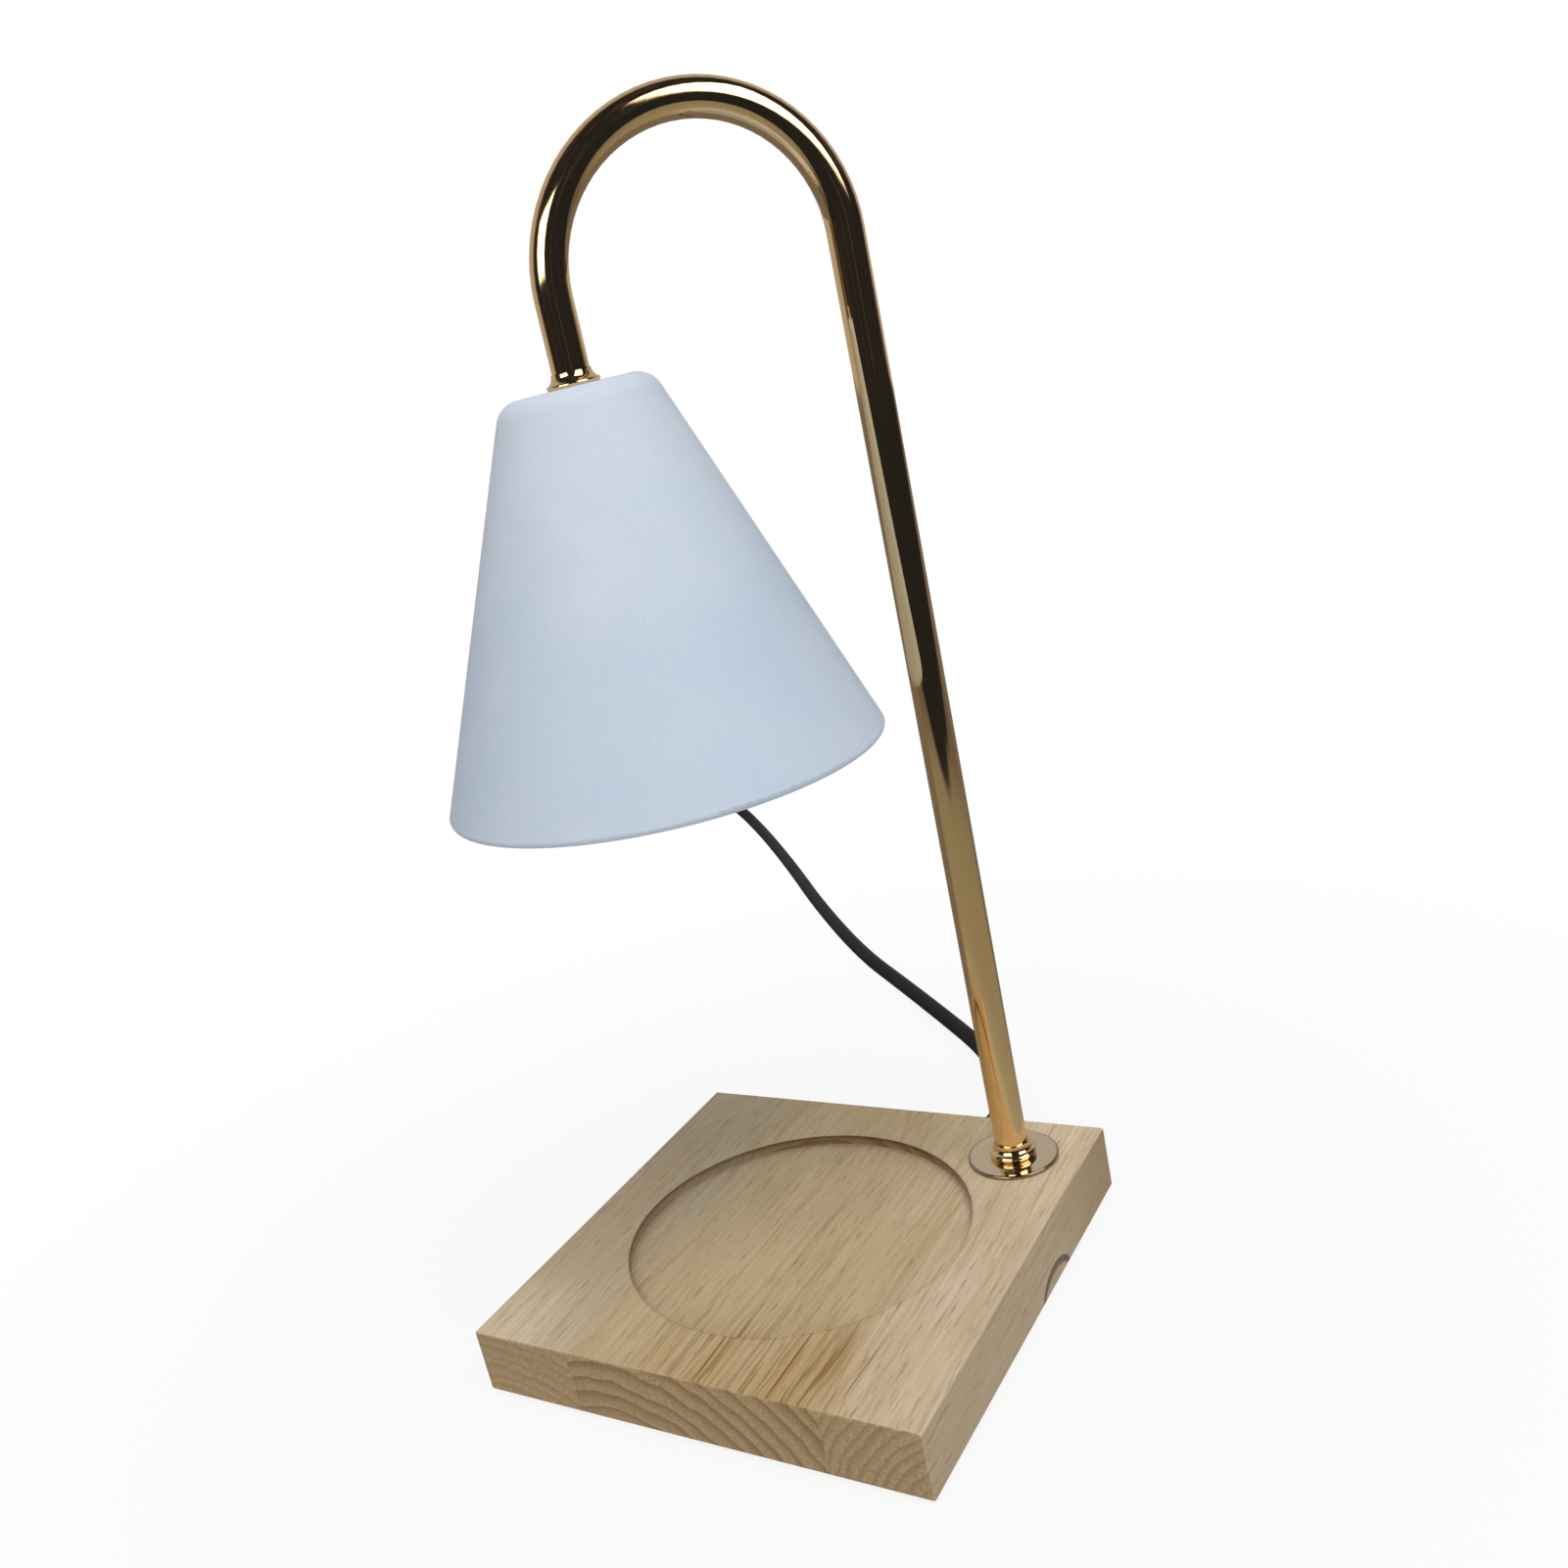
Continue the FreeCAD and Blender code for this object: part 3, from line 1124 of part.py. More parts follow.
def make_plug():
    """Flat two-pin plug: a tapered grip, a body and two round pins with bevelled tips."""
    aside = 2 * coil_radius()
    rear = COIL_ALONG - PLUG_RUN - size("relief_length").value
    axis = size("plug_height") / 2

    body = new_body("plug_body")
    taper, length = size("plug_taper"), size("plug_length")
    sections = []
    for lift, wide, high in ((Size(0.0, "0"), size("plug_neck"), size("plug_neck") * 0.9),
                             (taper, size("plug_width"), size("plug_height"))):
        sketch = new_sketch(body, "XY_Plane", lift)
        box_outline(sketch, -high / 2, high / 2, -wide / 2, wide / 2)
        sections.append(sketch)
    loft = body.newObject("PartDesign::AdditiveLoft", "Grip")
    loft.Profile = sections[0]
    loft.Sections = [sections[1]]
    loft.Ruled = True
    doc.recompute()
    sketch = new_sketch(body, "XY_Plane", taper)
    box_outline(sketch, -size("plug_height") / 2, size("plug_height") / 2,
                -size("plug_width") / 2, size("plug_width") / 2)
    pad(body, sketch, length)
    soften(body, size("plug_edge"), lambda edge: is_upright(edge) or abs(
        edge.Vertexes[0].Z - edge.Vertexes[-1].Z) > taper.value * 0.9)
    sketch = new_sketch(body, "XY_Plane")
    disc(sketch, 0, 0, size("cord_dia") + 2 * gap)
    pocket(body, sketch, taper, up=True)
    keep(lay(body, rear, axis, True, aside), "plug_body")

    pins = []
    front = rear - (taper + length).value
    pin, reach = size("plug_pin_dia") / 2, size("plug_pin_length")
    for side in (-1, 1):
        pins.append(lay(turned("plug_pin", [
            (0, 0), (pin, 0), (pin, reach - pin / 2), (pin / 2, reach), (0, reach)]),
            front, axis, True, aside + size("plug_pin_pitch").value / 2 * side))
    group("plug_pins", pins)

    tapered = turned("plug_sleeve", [
        (size("cord_dia") / 2 + gap, 0), (size("relief_dia") / 2, 0),
        (size("gland_tip_dia") / 2, size("relief_length")),
        (size("cord_dia") / 2 + gap, size("relief_length"))])
    keep(lay(tapered, rear, axis, False, aside), "plug_sleeve")


# ---------------------------------------------------------------- the whole lamp

make_base_board()
make_feet()
make_cover()
make_cover_screws()
make_cord_anchorage()
make_terminal_block()
make_terminal_screws()
make_bay_screws()
make_stem_tube()
make_foot_hardware()
make_shade_hardware()
make_shade()
make_holder_strap()
make_lampholder()
make_holder_screws()
make_contacts()
make_bulb()
make_leads()
make_cord_cores()
make_gland()
make_cords()
make_coil()
make_dimmer()
make_plug()
doc.recompute()

for item in doc.Objects:
    if "Invalid" in item.State or "Error" in item.State:
        raise ValueError(f"{item.Name} in {[owner.Name for owner in item.InList]} did not build")
os.makedirs("parts", exist_ok=True)
for item in sub_parts:
    if item.Shape.isNull() or not item.Shape.isValid() or item.Shape.Volume <= 0:
        raise ValueError(f"{item.Label} has no valid solid")
for item in sub_parts:
    item.Shape.exportStep(f"parts/{item.Label}.step")
    extent = item.Shape.BoundBox
    print(f"{item.Label}: {len(item.Shape.Solids)} solid(s), {item.Shape.Volume:.0f} mm3, "
          f"z {extent.ZMin:.2f} to {extent.ZMax:.2f}")
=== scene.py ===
import json
import math

import bpy
from mathutils import Matrix, Vector


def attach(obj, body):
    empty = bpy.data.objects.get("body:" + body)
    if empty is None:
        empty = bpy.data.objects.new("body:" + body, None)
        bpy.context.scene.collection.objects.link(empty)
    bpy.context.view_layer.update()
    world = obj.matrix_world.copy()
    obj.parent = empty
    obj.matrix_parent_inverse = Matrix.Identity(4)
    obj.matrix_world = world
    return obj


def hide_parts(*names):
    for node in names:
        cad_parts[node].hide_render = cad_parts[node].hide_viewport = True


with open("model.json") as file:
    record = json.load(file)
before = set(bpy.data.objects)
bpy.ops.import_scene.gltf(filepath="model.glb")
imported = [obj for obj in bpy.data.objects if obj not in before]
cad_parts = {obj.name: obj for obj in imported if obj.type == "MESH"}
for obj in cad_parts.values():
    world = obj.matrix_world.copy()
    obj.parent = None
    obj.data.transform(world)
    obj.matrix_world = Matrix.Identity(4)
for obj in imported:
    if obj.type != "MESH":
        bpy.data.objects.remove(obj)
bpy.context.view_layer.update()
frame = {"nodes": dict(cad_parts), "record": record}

# Candle warmer lamp: a square board of pale wood with a round candle seat, a gooseneck of polished
# gold tube, a powder-coated conical shade over a spot bulb, and a black cord with a dimmer and a
# plug. Metres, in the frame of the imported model: +Z up, -Y is the front, the stem stands at +X +Y.


def compass(azimuth, height=0.0):
    """The heading at an azimuth from +X towards +Y and a height above the horizon, in degrees."""
    azimuth, height = math.radians(azimuth), math.radians(height)
    return Vector((math.cos(azimuth) * math.cos(height), math.sin(azimuth) * math.cos(height),
                   math.sin(height)))


# ---------------------------------------------------------------- camera

CAMERA_TARGET = Vector((-0.01787, -0.00682, 0.14488))
CAMERA_DISTANCE = 0.41230
CAMERA_AZIMUTH = 37.76 - 90             # degrees, as compass() counts them; -90 is the front
CAMERA_HEIGHT = 17.04
CAMERA_ROLL = -13.98
SENSOR = 36.0
LENS = 34.353
SHIFT = (0.09198, 0.04197)
CLIP = (0.01, 30.0)


def make_camera():
    data = bpy.data.cameras.new("camera")
    data.sensor_width = SENSOR
    data.lens = LENS
    data.shift_x, data.shift_y = SHIFT
    data.clip_start, data.clip_end = CLIP
    back = compass(CAMERA_AZIMUTH, CAMERA_HEIGHT)
    side = Vector((0, 0, 1)).cross(back).normalized()
    rise = back.cross(side)
    turn = Matrix((side, rise, back)).transposed() @ Matrix.Rotation(
        math.radians(CAMERA_ROLL), 3, "Z")
    camera = bpy.data.objects.new("camera", data)
    camera.matrix_world = (Matrix.Translation(CAMERA_TARGET + back * CAMERA_DISTANCE)
                           @ turn.to_4x4())
    bpy.context.scene.collection.objects.link(camera)
    bpy.context.scene.camera = camera
    bpy.context.scene.view_settings.view_transform = "Standard"


# ---------------------------------------------------------------- cord

CORD_DIA = 0.006
CORD_ROUND = 8                          # bevel resolution of its circle
CORD_STEPS = 6                          # steps of the line between two of its points
EXIT = Vector((0.025, 0.070, 0.0))      # on the table, below the hole in the back of the base
CORD_TAIL = (0.0, -0.019, 0.0064)       # inside the base, measured from EXIT
CORD_ROUTE = [                          # from the gland to the dimmer, measured from EXIT
    (0.0, 0.0255, 0.0064), (-0.0038, 0.0362, 0.0048), (-0.0105, 0.0510, 0.0033),
    (-0.0181, 0.0652, 0.003), (-0.0287, 0.0785, 0.003), (-0.0505, 0.0986, 0.003),
    (-0.0792, 0.1243, 0.003), (-0.1143, 0.1549, 0.003), (-0.1620, 0.2070, 0.003),
    (-0.2020, 0.2550, 0.003), (-0.2405, 0.2990, 0.003), (-0.263, 0.3225, 0.0042),
    (-0.279, 0.3362, 0.0076), (-0.293, 0.3476, 0.009),
]
DIMMER_HEADING = 142.0                  # degrees, as compass() counts them
DIMMER_AXIS = 0.009
DIMMER_IN, DIMMER_OUT = 0.016, 0.1215   # straight run through the dimmer and its two sleeves
COIL_ALONG = 0.143                      # the coil's middle, along the dimmer's line
COIL_LEAD = 0.006                       # the top layer's height is reached this much before it
COIL_OUTER, COIL_INNER = 0.039, 0.033   # radii of the two rings of turns
COIL_TOP, COIL_LOW = 0.0096, 0.0036     # heights of the two layers of turns
COIL_TURNS = 3.5
COIL_STEP = 15                          # degrees from one point to the next
COIL_INWARD, COIL_DOWN, COIL_OUTWARD = 300, 580, 940    # degrees at which it changes its place
COIL_CHANGE = 60                        # degrees that each change takes
PLUG_AXIS = 0.00685
PLUG_LEAD = [                           # along the dimmer's line, and height
    (COIL_ALONG, COIL_LOW), (COIL_ALONG - 0.014, COIL_LOW), (COIL_ALONG - 0.024, 0.0052),
    (0.109, PLUG_AXIS),                 # tip of the plug's sleeve
    (0.088, PLUG_AXIS),                 # rear of the plug
]


def ahead(distance, aside, height):
    """A point on the dimmer's line: distance past the end of the route, and to its right."""
    place = (EXIT + Vector(CORD_ROUTE[-1]) + compass(DIMMER_HEADING) * distance
             + compass(DIMMER_HEADING - 90) * aside)
    return Vector((place.x, place.y, height))


def smooth(low, high, share):
    """From low to high while share goes from 0 to 1, with soft ends."""
    share = min(max(share, 0.0), 1.0)
    return low + (high - low) * share * share * (3 - 2 * share)


def coil_points():
    """Three and a half turns: top outer, top inner, bottom inner, and half a turn bottom outer."""
    points = []
    swell = 1 / math.cos(math.radians(COIL_STEP) / 2)   # because the line cuts its corners
    for degrees in range(COIL_STEP, round(360 * COIL_TURNS), COIL_STEP):
        radius = smooth(COIL_OUTER, COIL_INNER, (degrees - COIL_INWARD) / COIL_CHANGE)
        radius = smooth(radius, COIL_OUTER, (degrees - COIL_OUTWARD) / COIL_CHANGE)
        height = smooth(COIL_TOP, COIL_LOW, (degrees - COIL_DOWN) / COIL_CHANGE)
        angle = math.radians(degrees)
        points.append(ahead(COIL_ALONG + radius * swell * math.sin(angle),
                            COIL_OUTER - radius * swell * math.cos(angle), height))
    return points


def cord_points():
    points = [EXIT + Vector(place) for place in (CORD_TAIL, *CORD_ROUTE)]
    points += [ahead(DIMMER_IN, 0, DIMMER_AXIS), ahead(DIMMER_OUT, 0, DIMMER_AXIS),
               ahead(COIL_ALONG - COIL_LEAD, 0, COIL_TOP)]
    points += coil_points()
    points += [ahead(along, 2 * COIL_OUTER, height) for along, height in PLUG_LEAD]
    return points


def make_cord():
    points = cord_points()
    data = bpy.data.curves.new("mains_cord", "CURVE")
    data.dimensions = "3D"
    data.bevel_depth = 1.0              # times each point's radius, which Blender adds to its box
    data.bevel_resolution = CORD_ROUND
    data.use_fill_caps = True
    spline = data.splines.new("NURBS")
    spline.points.add(len(points) - 1)
    for item, place in zip(spline.points, points):
        item.co = (*place, 1.0)
        item.radius = CORD_DIA / 2
    spline.order_u = 3
    spline.use_endpoint_u = True
    spline.resolution_u = CORD_STEPS
    cord = bpy.data.objects.new("mains_cord", data)
    bpy.context.scene.collection.objects.link(cord)
    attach(cord, "lamp")
    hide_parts("lamp_cord", "coil_lead", "cord_coil", "plug_lead")
    return cord


# ---------------------------------------------------------------- shader nodes

def linear(red, green, blue):
    """An 8-bit screen colour as the numbers that a shader takes."""
    def one(value):
        value /= 255
        return value / 12.92 if value <= 0.04045 else ((value + 0.055) / 1.055) ** 2.4
    return (one(red), one(green), one(blue), 1.0)


def opaque(red, green, blue):
    return (red, green, blue, 1)


def grey(value):
    return opaque(value, value, value)


def shaded(colour, share):
    return opaque(*(min(channel * share, 1) for channel in colour[:3]))


class Nodes:
    """A node tree whose nodes are made and joined in one line each."""

    def __init__(self, tree):
        self.tree = tree

    def node(self, kind, **settings):
        made = self.tree.nodes.new("ShaderNode" + kind)
        for name, value in settings.items():
            setattr(made, name, value)
        return made

    def join(self, value, socket):
        """Feed a socket from another one, or set it to a plain value."""
        if hasattr(value, "is_linked"):
            self.tree.links.new(value, socket)
        else:
            socket.default_value = value

    def fed(self, made, values):
        for value, socket in zip(values, made.inputs):
            self.join(value, socket)
        return made.outputs[0]

    def math(self, operation, *values):
        return self.fed(self.node("Math", operation=operation), values)

    def plus(self, first, second):
        return self.math("ADD", first, second)

    def minus(self, first, second):
        return self.math("SUBTRACT", first, second)

    def times(self, first, *others):
        for other in others:
            first = self.math("MULTIPLY", first, other)
        return first

    def line(self, value, slope, start):
        """value * slope + start"""
        return self.math("MULTIPLY_ADD", value, slope, start)

    def inverse(self, share):
        return self.minus(1.0, share)

    def blend(self, share, first, second):
        """From the first number to the second."""
        return self.line(share, self.minus(second, first), first)

    def between(self, value, low, high):
        """0 up to low, 1 from high on, and a smooth step between them."""
        made = self.node("MapRange", interpolation_type="SMOOTHSTEP")
        return self.fed(made, (value, low, high))

    def split(self, vector):
        made = self.node("SeparateXYZ")
        self.join(vector, made.inputs[0])
        return made.outputs

    def pack(self, x, y, z):
        return self.fed(self.node("CombineXYZ"), (x, y, z))

    def stretch(self, vector, scale):
        return self.fed(self.node("VectorMath", operation="MULTIPLY"), (vector, scale))

    def shift(self, vector, origin):
        return self.fed(self.node("VectorMath", operation="SUBTRACT"), (vector, origin))

    def dot(self, vector, heading):
        made = self.node("VectorMath", operation="DOT_PRODUCT")
        self.fed(made, (vector, heading))
        return made.outputs["Value"]

    def length(self, vector):
        made = self.node("VectorMath", operation="LENGTH")
        self.fed(made, (vector,))
        return made.outputs["Value"]

    def noise(self, vector, scale, detail=2.0, rough=0.5):
        made = self.node("TexNoise")
        self.join(vector, made.inputs["Vector"])
        made.inputs["Scale"].default_value = scale
        made.inputs["Detail"].default_value = detail
        made.inputs["Roughness"].default_value = rough
        return made.outputs[0]

    def ramp(self, value, stops):
        """A ramp through stops of a place and either a colour or the brightness of a grey."""
        made = self.node("ValToRGB")
        self.join(value, made.inputs[0])
        for index, (place, colour) in enumerate(stops):
            if index > 1:
                made.color_ramp.elements.new(place)
            element = made.color_ramp.elements[index]
            element.position = place
            element.color = colour if hasattr(colour, "__len__") else grey(colour)
        return made.outputs[0]

    def rise(self, value, low, high, top):
        """0 up to low, top from high on, and a straight line between them."""
        return self.ramp(value, [(low, 0.0), (high, top)])

    def mix(self, share, first, second):
        made = self.node("Mix", data_type="RGBA")
        self.join(share, made.inputs[0])
        self.join(first, made.inputs[6])
        self.join(second, made.inputs[7])
        return made.outputs[2]


class Shader(Nodes):
    """A material round one Principled surface."""

    def __init__(self, name):
        self.material = bpy.data.materials.new(name)
        self.material.use_nodes = True
        super().__init__(self.material.node_tree)
        self.surface = self.tree.nodes["Principled BSDF"]

    def where(self):
        return self.node("TexCoord").outputs["Object"]

    def bump(self, height, distance, strength=1.0):
        made = self.node("Bump")
        made.inputs["Strength"].default_value = strength
        made.inputs["Distance"].default_value = distance
        self.join(height, made.inputs["Height"])
        self.join(made.outputs[0], self.surface.inputs["Normal"])

    def set(self, **values):
        for name, value in values.items():
            self.join(value, self.surface.inputs[name.replace("_", " ")])


# ---------------------------------------------------------------- wood

# Glued planks from left to right: right edge, axis of the growth rings (x, z), their flattening,
# spacing and lean, how strongly they show, and the colour of the pale wood
PLANKS = [
    (-0.0367, (-0.0640, -0.0130), 1.60, 0.0052, 0.10, 0.45, linear(197, 182, 156)),
    (0.0417, (-0.0250, -0.0370), 1.00, 0.0050, -0.04, 1.00, linear(204, 183, 146)),
    (0.0710, (0.0900, -0.0160), 1.00, 0.0029, 0.08, 0.60, linear(221, 200, 171)),
]
BOARD_FRONT = -0.070
RIGHT_FACE = 0.066                      # the right face lies past this x
RING_SWAY = 0.30                        # how far the rings wander, to each metre of depth
STREAKS_FROM = (-0.020, -0.008)         # streaks fade in over this x,
STREAKS_TO = (0.042, 0.054)             # out over this x,
STREAKS_BACK = (-0.05425, -0.025)       # and out over this y
VEIN_SWAY = 0.013
WIDE_VEINS, FINE_VEINS = 0.0046, 0.0017  # from one line to the next
PAINTED_LIGHT_CORNERS = [                        # painted light: corners of the board made paler to lift the shading there, the back one beside the stem; over x, and over y
    ((0.020, 0.050), (0.005, 0.050)),
    ((-0.030, -0.055), (-0.030, -0.060)),
]
KNOT_LEVEL, KNOT_HEIGHT = 0.0183, 0.0   # its middle on the right face: y and z
KNOT_HALF, KNOT_FLATNESS = 0.012, 1.46  # half its length, and its length over its height
KNOT_RIM = 0.0021                       # the dark crescent at its thickest
SEAT_DARK_FROM = (0.0483, 0.0511)       # the seat's ring of painted shade and cutter burn fades in over this radius,
SEAT_DARK_TO = (0.0514, 0.0521)         # out over this one,
SEAT_DARK_UP = (0.0150, 0.0180)         # and in over this height, so the underside is clear
SEAT_WALL = (0.0190, 0.0220)            # painted shade and burn on the wall grow over this height

CLOUDS = linear(190, 163, 120)
PAINTED_LIGHT_CREAM = linear(236, 217, 186)
STREAK_TAN = linear(194, 160, 106)
# the side faces: their own colour at the front, painted shade at the back
SIDE_FRONT, SIDE_SHADED_BACK = linear(194, 174, 144), linear(172, 149, 116)
END_TAN = linear(194, 168, 126)
LATE_WOOD = linear(122, 84, 42)
FIBRES = linear(160, 134, 96)
VEINS = linear(134, 90, 44)
SPECKLES = linear(130, 98, 58)
DASHES = linear(138, 96, 46)
PORES = linear(120, 90, 54)
KNOT_BROWN = linear(84, 47, 16)
# painted shade and cutter burn in the seat
SEAT_SHADE_AND_BURN = linear(74, 52, 32)


def ring_reach(shader, place, sway, axis, flatness, lean):
    """Distance from the axis of a plank's growth rings, which wander towards the back."""
    x, y, z = place
    wander = shader.times(shader.line(sway, RING_SWAY, lean - RING_SWAY / 2),
                          shader.minus(y, BOARD_FRONT))
    across = shader.plus(shader.minus(x, axis[0]), wander)
    up = shader.times(shader.minus(z, axis[1]), flatness)
    return shader.length(shader.pack(across, up, 0.0))


def planks(shader, where, place):
    """The rings counted from each plank's axis, how strongly they show, and the pale colour."""
    sway = shader.noise(shader.stretch(where, (20.0, 9.0, 20.0)), 1.0, 1.0)
    wobble = shader.noise(shader.stretch(where, (120.0, 26.0, 120.0)), 1.0, 3.0)
    turns = None
    for edge, axis, flatness, spacing, lean, own_strength, own_colour in reversed(PLANKS):
        own_turns = shader.math("DIVIDE", ring_reach(
            shader, place, sway, axis, flatness, lean), spacing)
        if turns is None:
            turns, strength, colour = own_turns, own_strength, own_colour
            continue
        inside = shader.math("LESS_THAN", place[0], edge)
        turns = shader.blend(inside, turns, own_turns)
        strength = shader.blend(inside, strength, own_strength)
        colour = shader.mix(inside, colour, own_colour)
    turns = shader.plus(turns, shader.line(wobble, 0.7, -0.35))
    turns = shader.plus(turns, shader.noise(shader.pack(turns, 0.0, 0.0), 1.3, 1.0))
    return turns, strength, colour


def streak_zone(shader, x, y):
    """1 where the board's saw cut runs along the late wood: the middle of the front edge."""
    return shader.times(
        shader.inverse(shader.between(y, *STREAKS_BACK)),
        shader.minus(shader.between(x, *STREAKS_FROM), shader.between(x, *STREAKS_TO)))


def veins(shader, where, pitch):
    """Thin wandering lines along Y, each as strong as its own number says."""
    x, y, _ = shader.split(where)
    sway = shader.noise(shader.stretch(where, (130.0, 7.0, 90.0)), 1.0, 1.5)
    count = shader.line(sway, VEIN_SWAY / pitch, shader.math("DIVIDE", x, pitch))
    line = shader.ramp(shader.math("FRACT", count), [
        (0.44, 0.0), (0.49, 1.0), (0.52, 1.0), (0.57, 0.0)])
    own = shader.noise(shader.pack(shader.math("FLOOR", count), shader.times(y, 30.0), 0.0),
                       0.73, 1.0)
    return shader.times(line, shader.ramp(own, [(0.38, 0.1), (0.56, 1.0)]))


def knot_share(shader, place, side_grain):
    """The dark crescent of a knot cut through by the bottom edge of the right face."""
    x, y, z = place

    def reach(height):
        return shader.length(shader.pack(0.0, shader.minus(y, KNOT_LEVEL), shader.times(
            shader.minus(z, height), KNOT_FLATNESS)))
    within = shader.inverse(shader.between(reach(KNOT_HEIGHT), KNOT_HALF * 0.94, KNOT_HALF))
    past = shader.between(reach(KNOT_HEIGHT - KNOT_RIM), KNOT_HALF * 0.88, KNOT_HALF)
    return shader.times(within, shader.line(past, 0.88, 0.05), shader.times(side_grain, 0.85),
                        shader.math("GREATER_THAN", x, RIGHT_FACE))


def seat_shade_and_burn(shader, place, upright):
    """Painted shade in the seat, on its wall, its sharp edge and the floor beside it, with the
    cutter's burn on the wall.
    """
    x, y, z = place
    reach = shader.length(shader.pack(x, y, 0.0))
    ring = shader.times(shader.between(reach, *SEAT_DARK_FROM),
                        shader.inverse(shader.between(reach, *SEAT_DARK_TO)),
                        shader.between(z, *SEAT_DARK_UP))
    wall = shader.times(upright, shader.between(z, *SEAT_WALL))
    return shader.times(ring, shader.line(wall, 0.62, 0.22))


def wood():
    """Pale rubberwood: three planks, their rings drawn on the end and as streaks along Y on top."""
    shader = Shader("pale_wood")
    where = shader.where()
    place = shader.split(where)
    x, y, _ = place
    normal = shader.split(shader.node("NewGeometry").outputs["Normal"])
    side_grain, end_grain = (
        shader.between(shader.math("ABSOLUTE", part), 0.6, 0.9) for part in normal[:2])
    long_grain = shader.inverse(end_grain)
    upright = shader.inverse(shader.between(shader.math("ABSOLUTE", normal[2]), 0.3, 0.7))
    zone = streak_zone(shader, x, y)
    patches = shader.noise(shader.stretch(where, (60.0, 14.0, 60.0)), 1.0, 2.0)
    faint = shader.ramp(patches, [(0.38, 0.05), (0.72, 0.50)])

    # broad changes of colour, painted light at two corners, painted shade at the back of the sides,
    # and the sawn faces
    turns, strength, colour = planks(shader, where, place)
    clouds = shader.noise(shader.stretch(where, (45.0, 11.0, 45.0)), 1.0, 3.0)
    colour = shader.mix(shader.rise(clouds, 0.35, 0.75, 0.55), colour, CLOUDS)
    # painted light: two corners of the board made paler
    for across, along in PAINTED_LIGHT_CORNERS:
        patch = shader.times(shader.between(x, *across), shader.between(y, *along))
        colour = shader.mix(shader.times(patch, 0.55), colour, PAINTED_LIGHT_CREAM)
    tint = shader.times(zone, shader.ramp(patches, [(0.35, 0.25), (0.65, 0.80)]))
    colour = shader.mix(tint, colour, STREAK_TAN)
    # painted shade: the side faces darken towards the back
    side = shader.mix(shader.between(y, 0.015, 0.068), SIDE_FRONT, SIDE_SHADED_BACK)
    colour = shader.mix(side_grain, colour, side)
    colour = shader.mix(end_grain, colour, END_TAN)

    # growth rings: bands on the end, fainter lines on the other faces
    share = shader.math("FRACT", turns)
    line = shader.ramp(share, [(0.0, 0.0), (0.82, 0.04), (0.90, 0.70), (0.93, 1.0), (0.96, 0.0)])
    band = shader.ramp(share, [
        (0.0, 0.08), (0.30, 0.22), (0.62, 0.60), (0.90, 1.0), (0.97, 0.10)])
    rings = shader.mix(end_grain, shader.times(line, shader.line(zone, 0.45, faint)),
                       shader.times(band, shader.times(strength, 0.80)))
    colour = shader.mix(rings, colour, LATE_WOOD)

    # fine grain
    fibres = shader.noise(shader.stretch(where, (700.0, 26.0, 700.0)), 1.0, 3.0, 0.6)
    colour = shader.mix(shader.rise(fibres, 0.36, 0.72, 0.42), colour, FIBRES)
    wide = shader.times(veins(shader, where, WIDE_VEINS), shader.line(
        zone, 0.92, shader.times(faint, 0.70)))
    fine = shader.times(veins(shader, where, FINE_VEINS), shader.line(zone, 0.50, 0.10))
    lines = shader.math("MAXIMUM", wide, fine)
    colour = shader.mix(shader.times(lines, long_grain), colour, VEINS)
    speckle = shader.rise(shader.noise(where, 1100.0, 3.0, 0.7), 0.38, 0.66, 0.45)
    colour = shader.mix(shader.times(end_grain, speckle), colour, SPECKLES)
    dashes = shader.noise(shader.stretch(where, (760.0, 34.0, 300.0)), 1.0, 2.0)
    dashes = shader.times(shader.rise(dashes, 0.56, 0.66, 1.0), shader.line(zone, 0.25, 0.12))
    colour = shader.mix(shader.times(dashes, long_grain), colour, DASHES)
    pores = shader.noise(shader.stretch(where, (1500.0, 110.0, 1500.0)), 1.0, 1.0)
    colour = shader.mix(shader.rise(pores, 0.62, 0.72, 0.40), colour, PORES)

    colour = shader.mix(knot_share(shader, place, side_grain), colour, KNOT_BROWN)
    # painted shade and cutter burn round the seat
    colour = shader.mix(seat_shade_and_burn(shader, place, upright), colour, SEAT_SHADE_AND_BURN)
    shader.set(Base_Color=colour, Roughness=shader.line(fibres, 0.18, 0.50),
               Specular_IOR_Level=0.35)
    shader.bump(shader.minus(fibres, shader.times(pores, 0.6)), 0.00007, 0.6)
    return shader.material


# ---------------------------------------------------------------- other finishes

GOLD = opaque(0.88, 0.62, 0.32)
PALE_GOLD = opaque(0.80, 0.69, 0.52)
# painted shadow along the rim of the disc
DISC_RIM_SHADOW = opaque(0.34, 0.27, 0.17)
DISC_RIM = (0.0007, 0.0003)             # the painted shadow line fades in over this distance from the edge
PAINT_DARK, PAINT_LIGHT = linear(193, 208, 225), linear(208, 217, 229)
# painted light on the upper part of the shade
PAINT_LIT_TOP = linear(222, 229, 238)
PAINT_SAND, PAINT_SPECKS = linear(176, 189, 203), linear(232, 236, 240)
BLACK = opaque(0.006, 0.006, 0.007)
MOTTLE = 0.06                           # how much a plain finish is darker and lighter in places


def plain(name, colour, roughness, metallic=0.0, grain=900.0, bump=0.00002, **more):
    """A finish with a fine grain in its colour, its roughness and its relief."""
    shader = Shader(name)
    where = shader.where()
    fine = shader.noise(where, grain, 3.0)
    broad = shader.noise(where, grain / 30, 2.0)
    stops = [(0.3, shaded(colour, 1 - MOTTLE)), (0.7, shaded(colour, 1 + MOTTLE))]
    shader.set(Base_Color=shader.ramp(broad, stops), Metallic=metallic,
               Roughness=shader.line(fine, roughness * 0.3, roughness * 0.85), **more)
    shader.bump(fine, bump)
    return shader.material


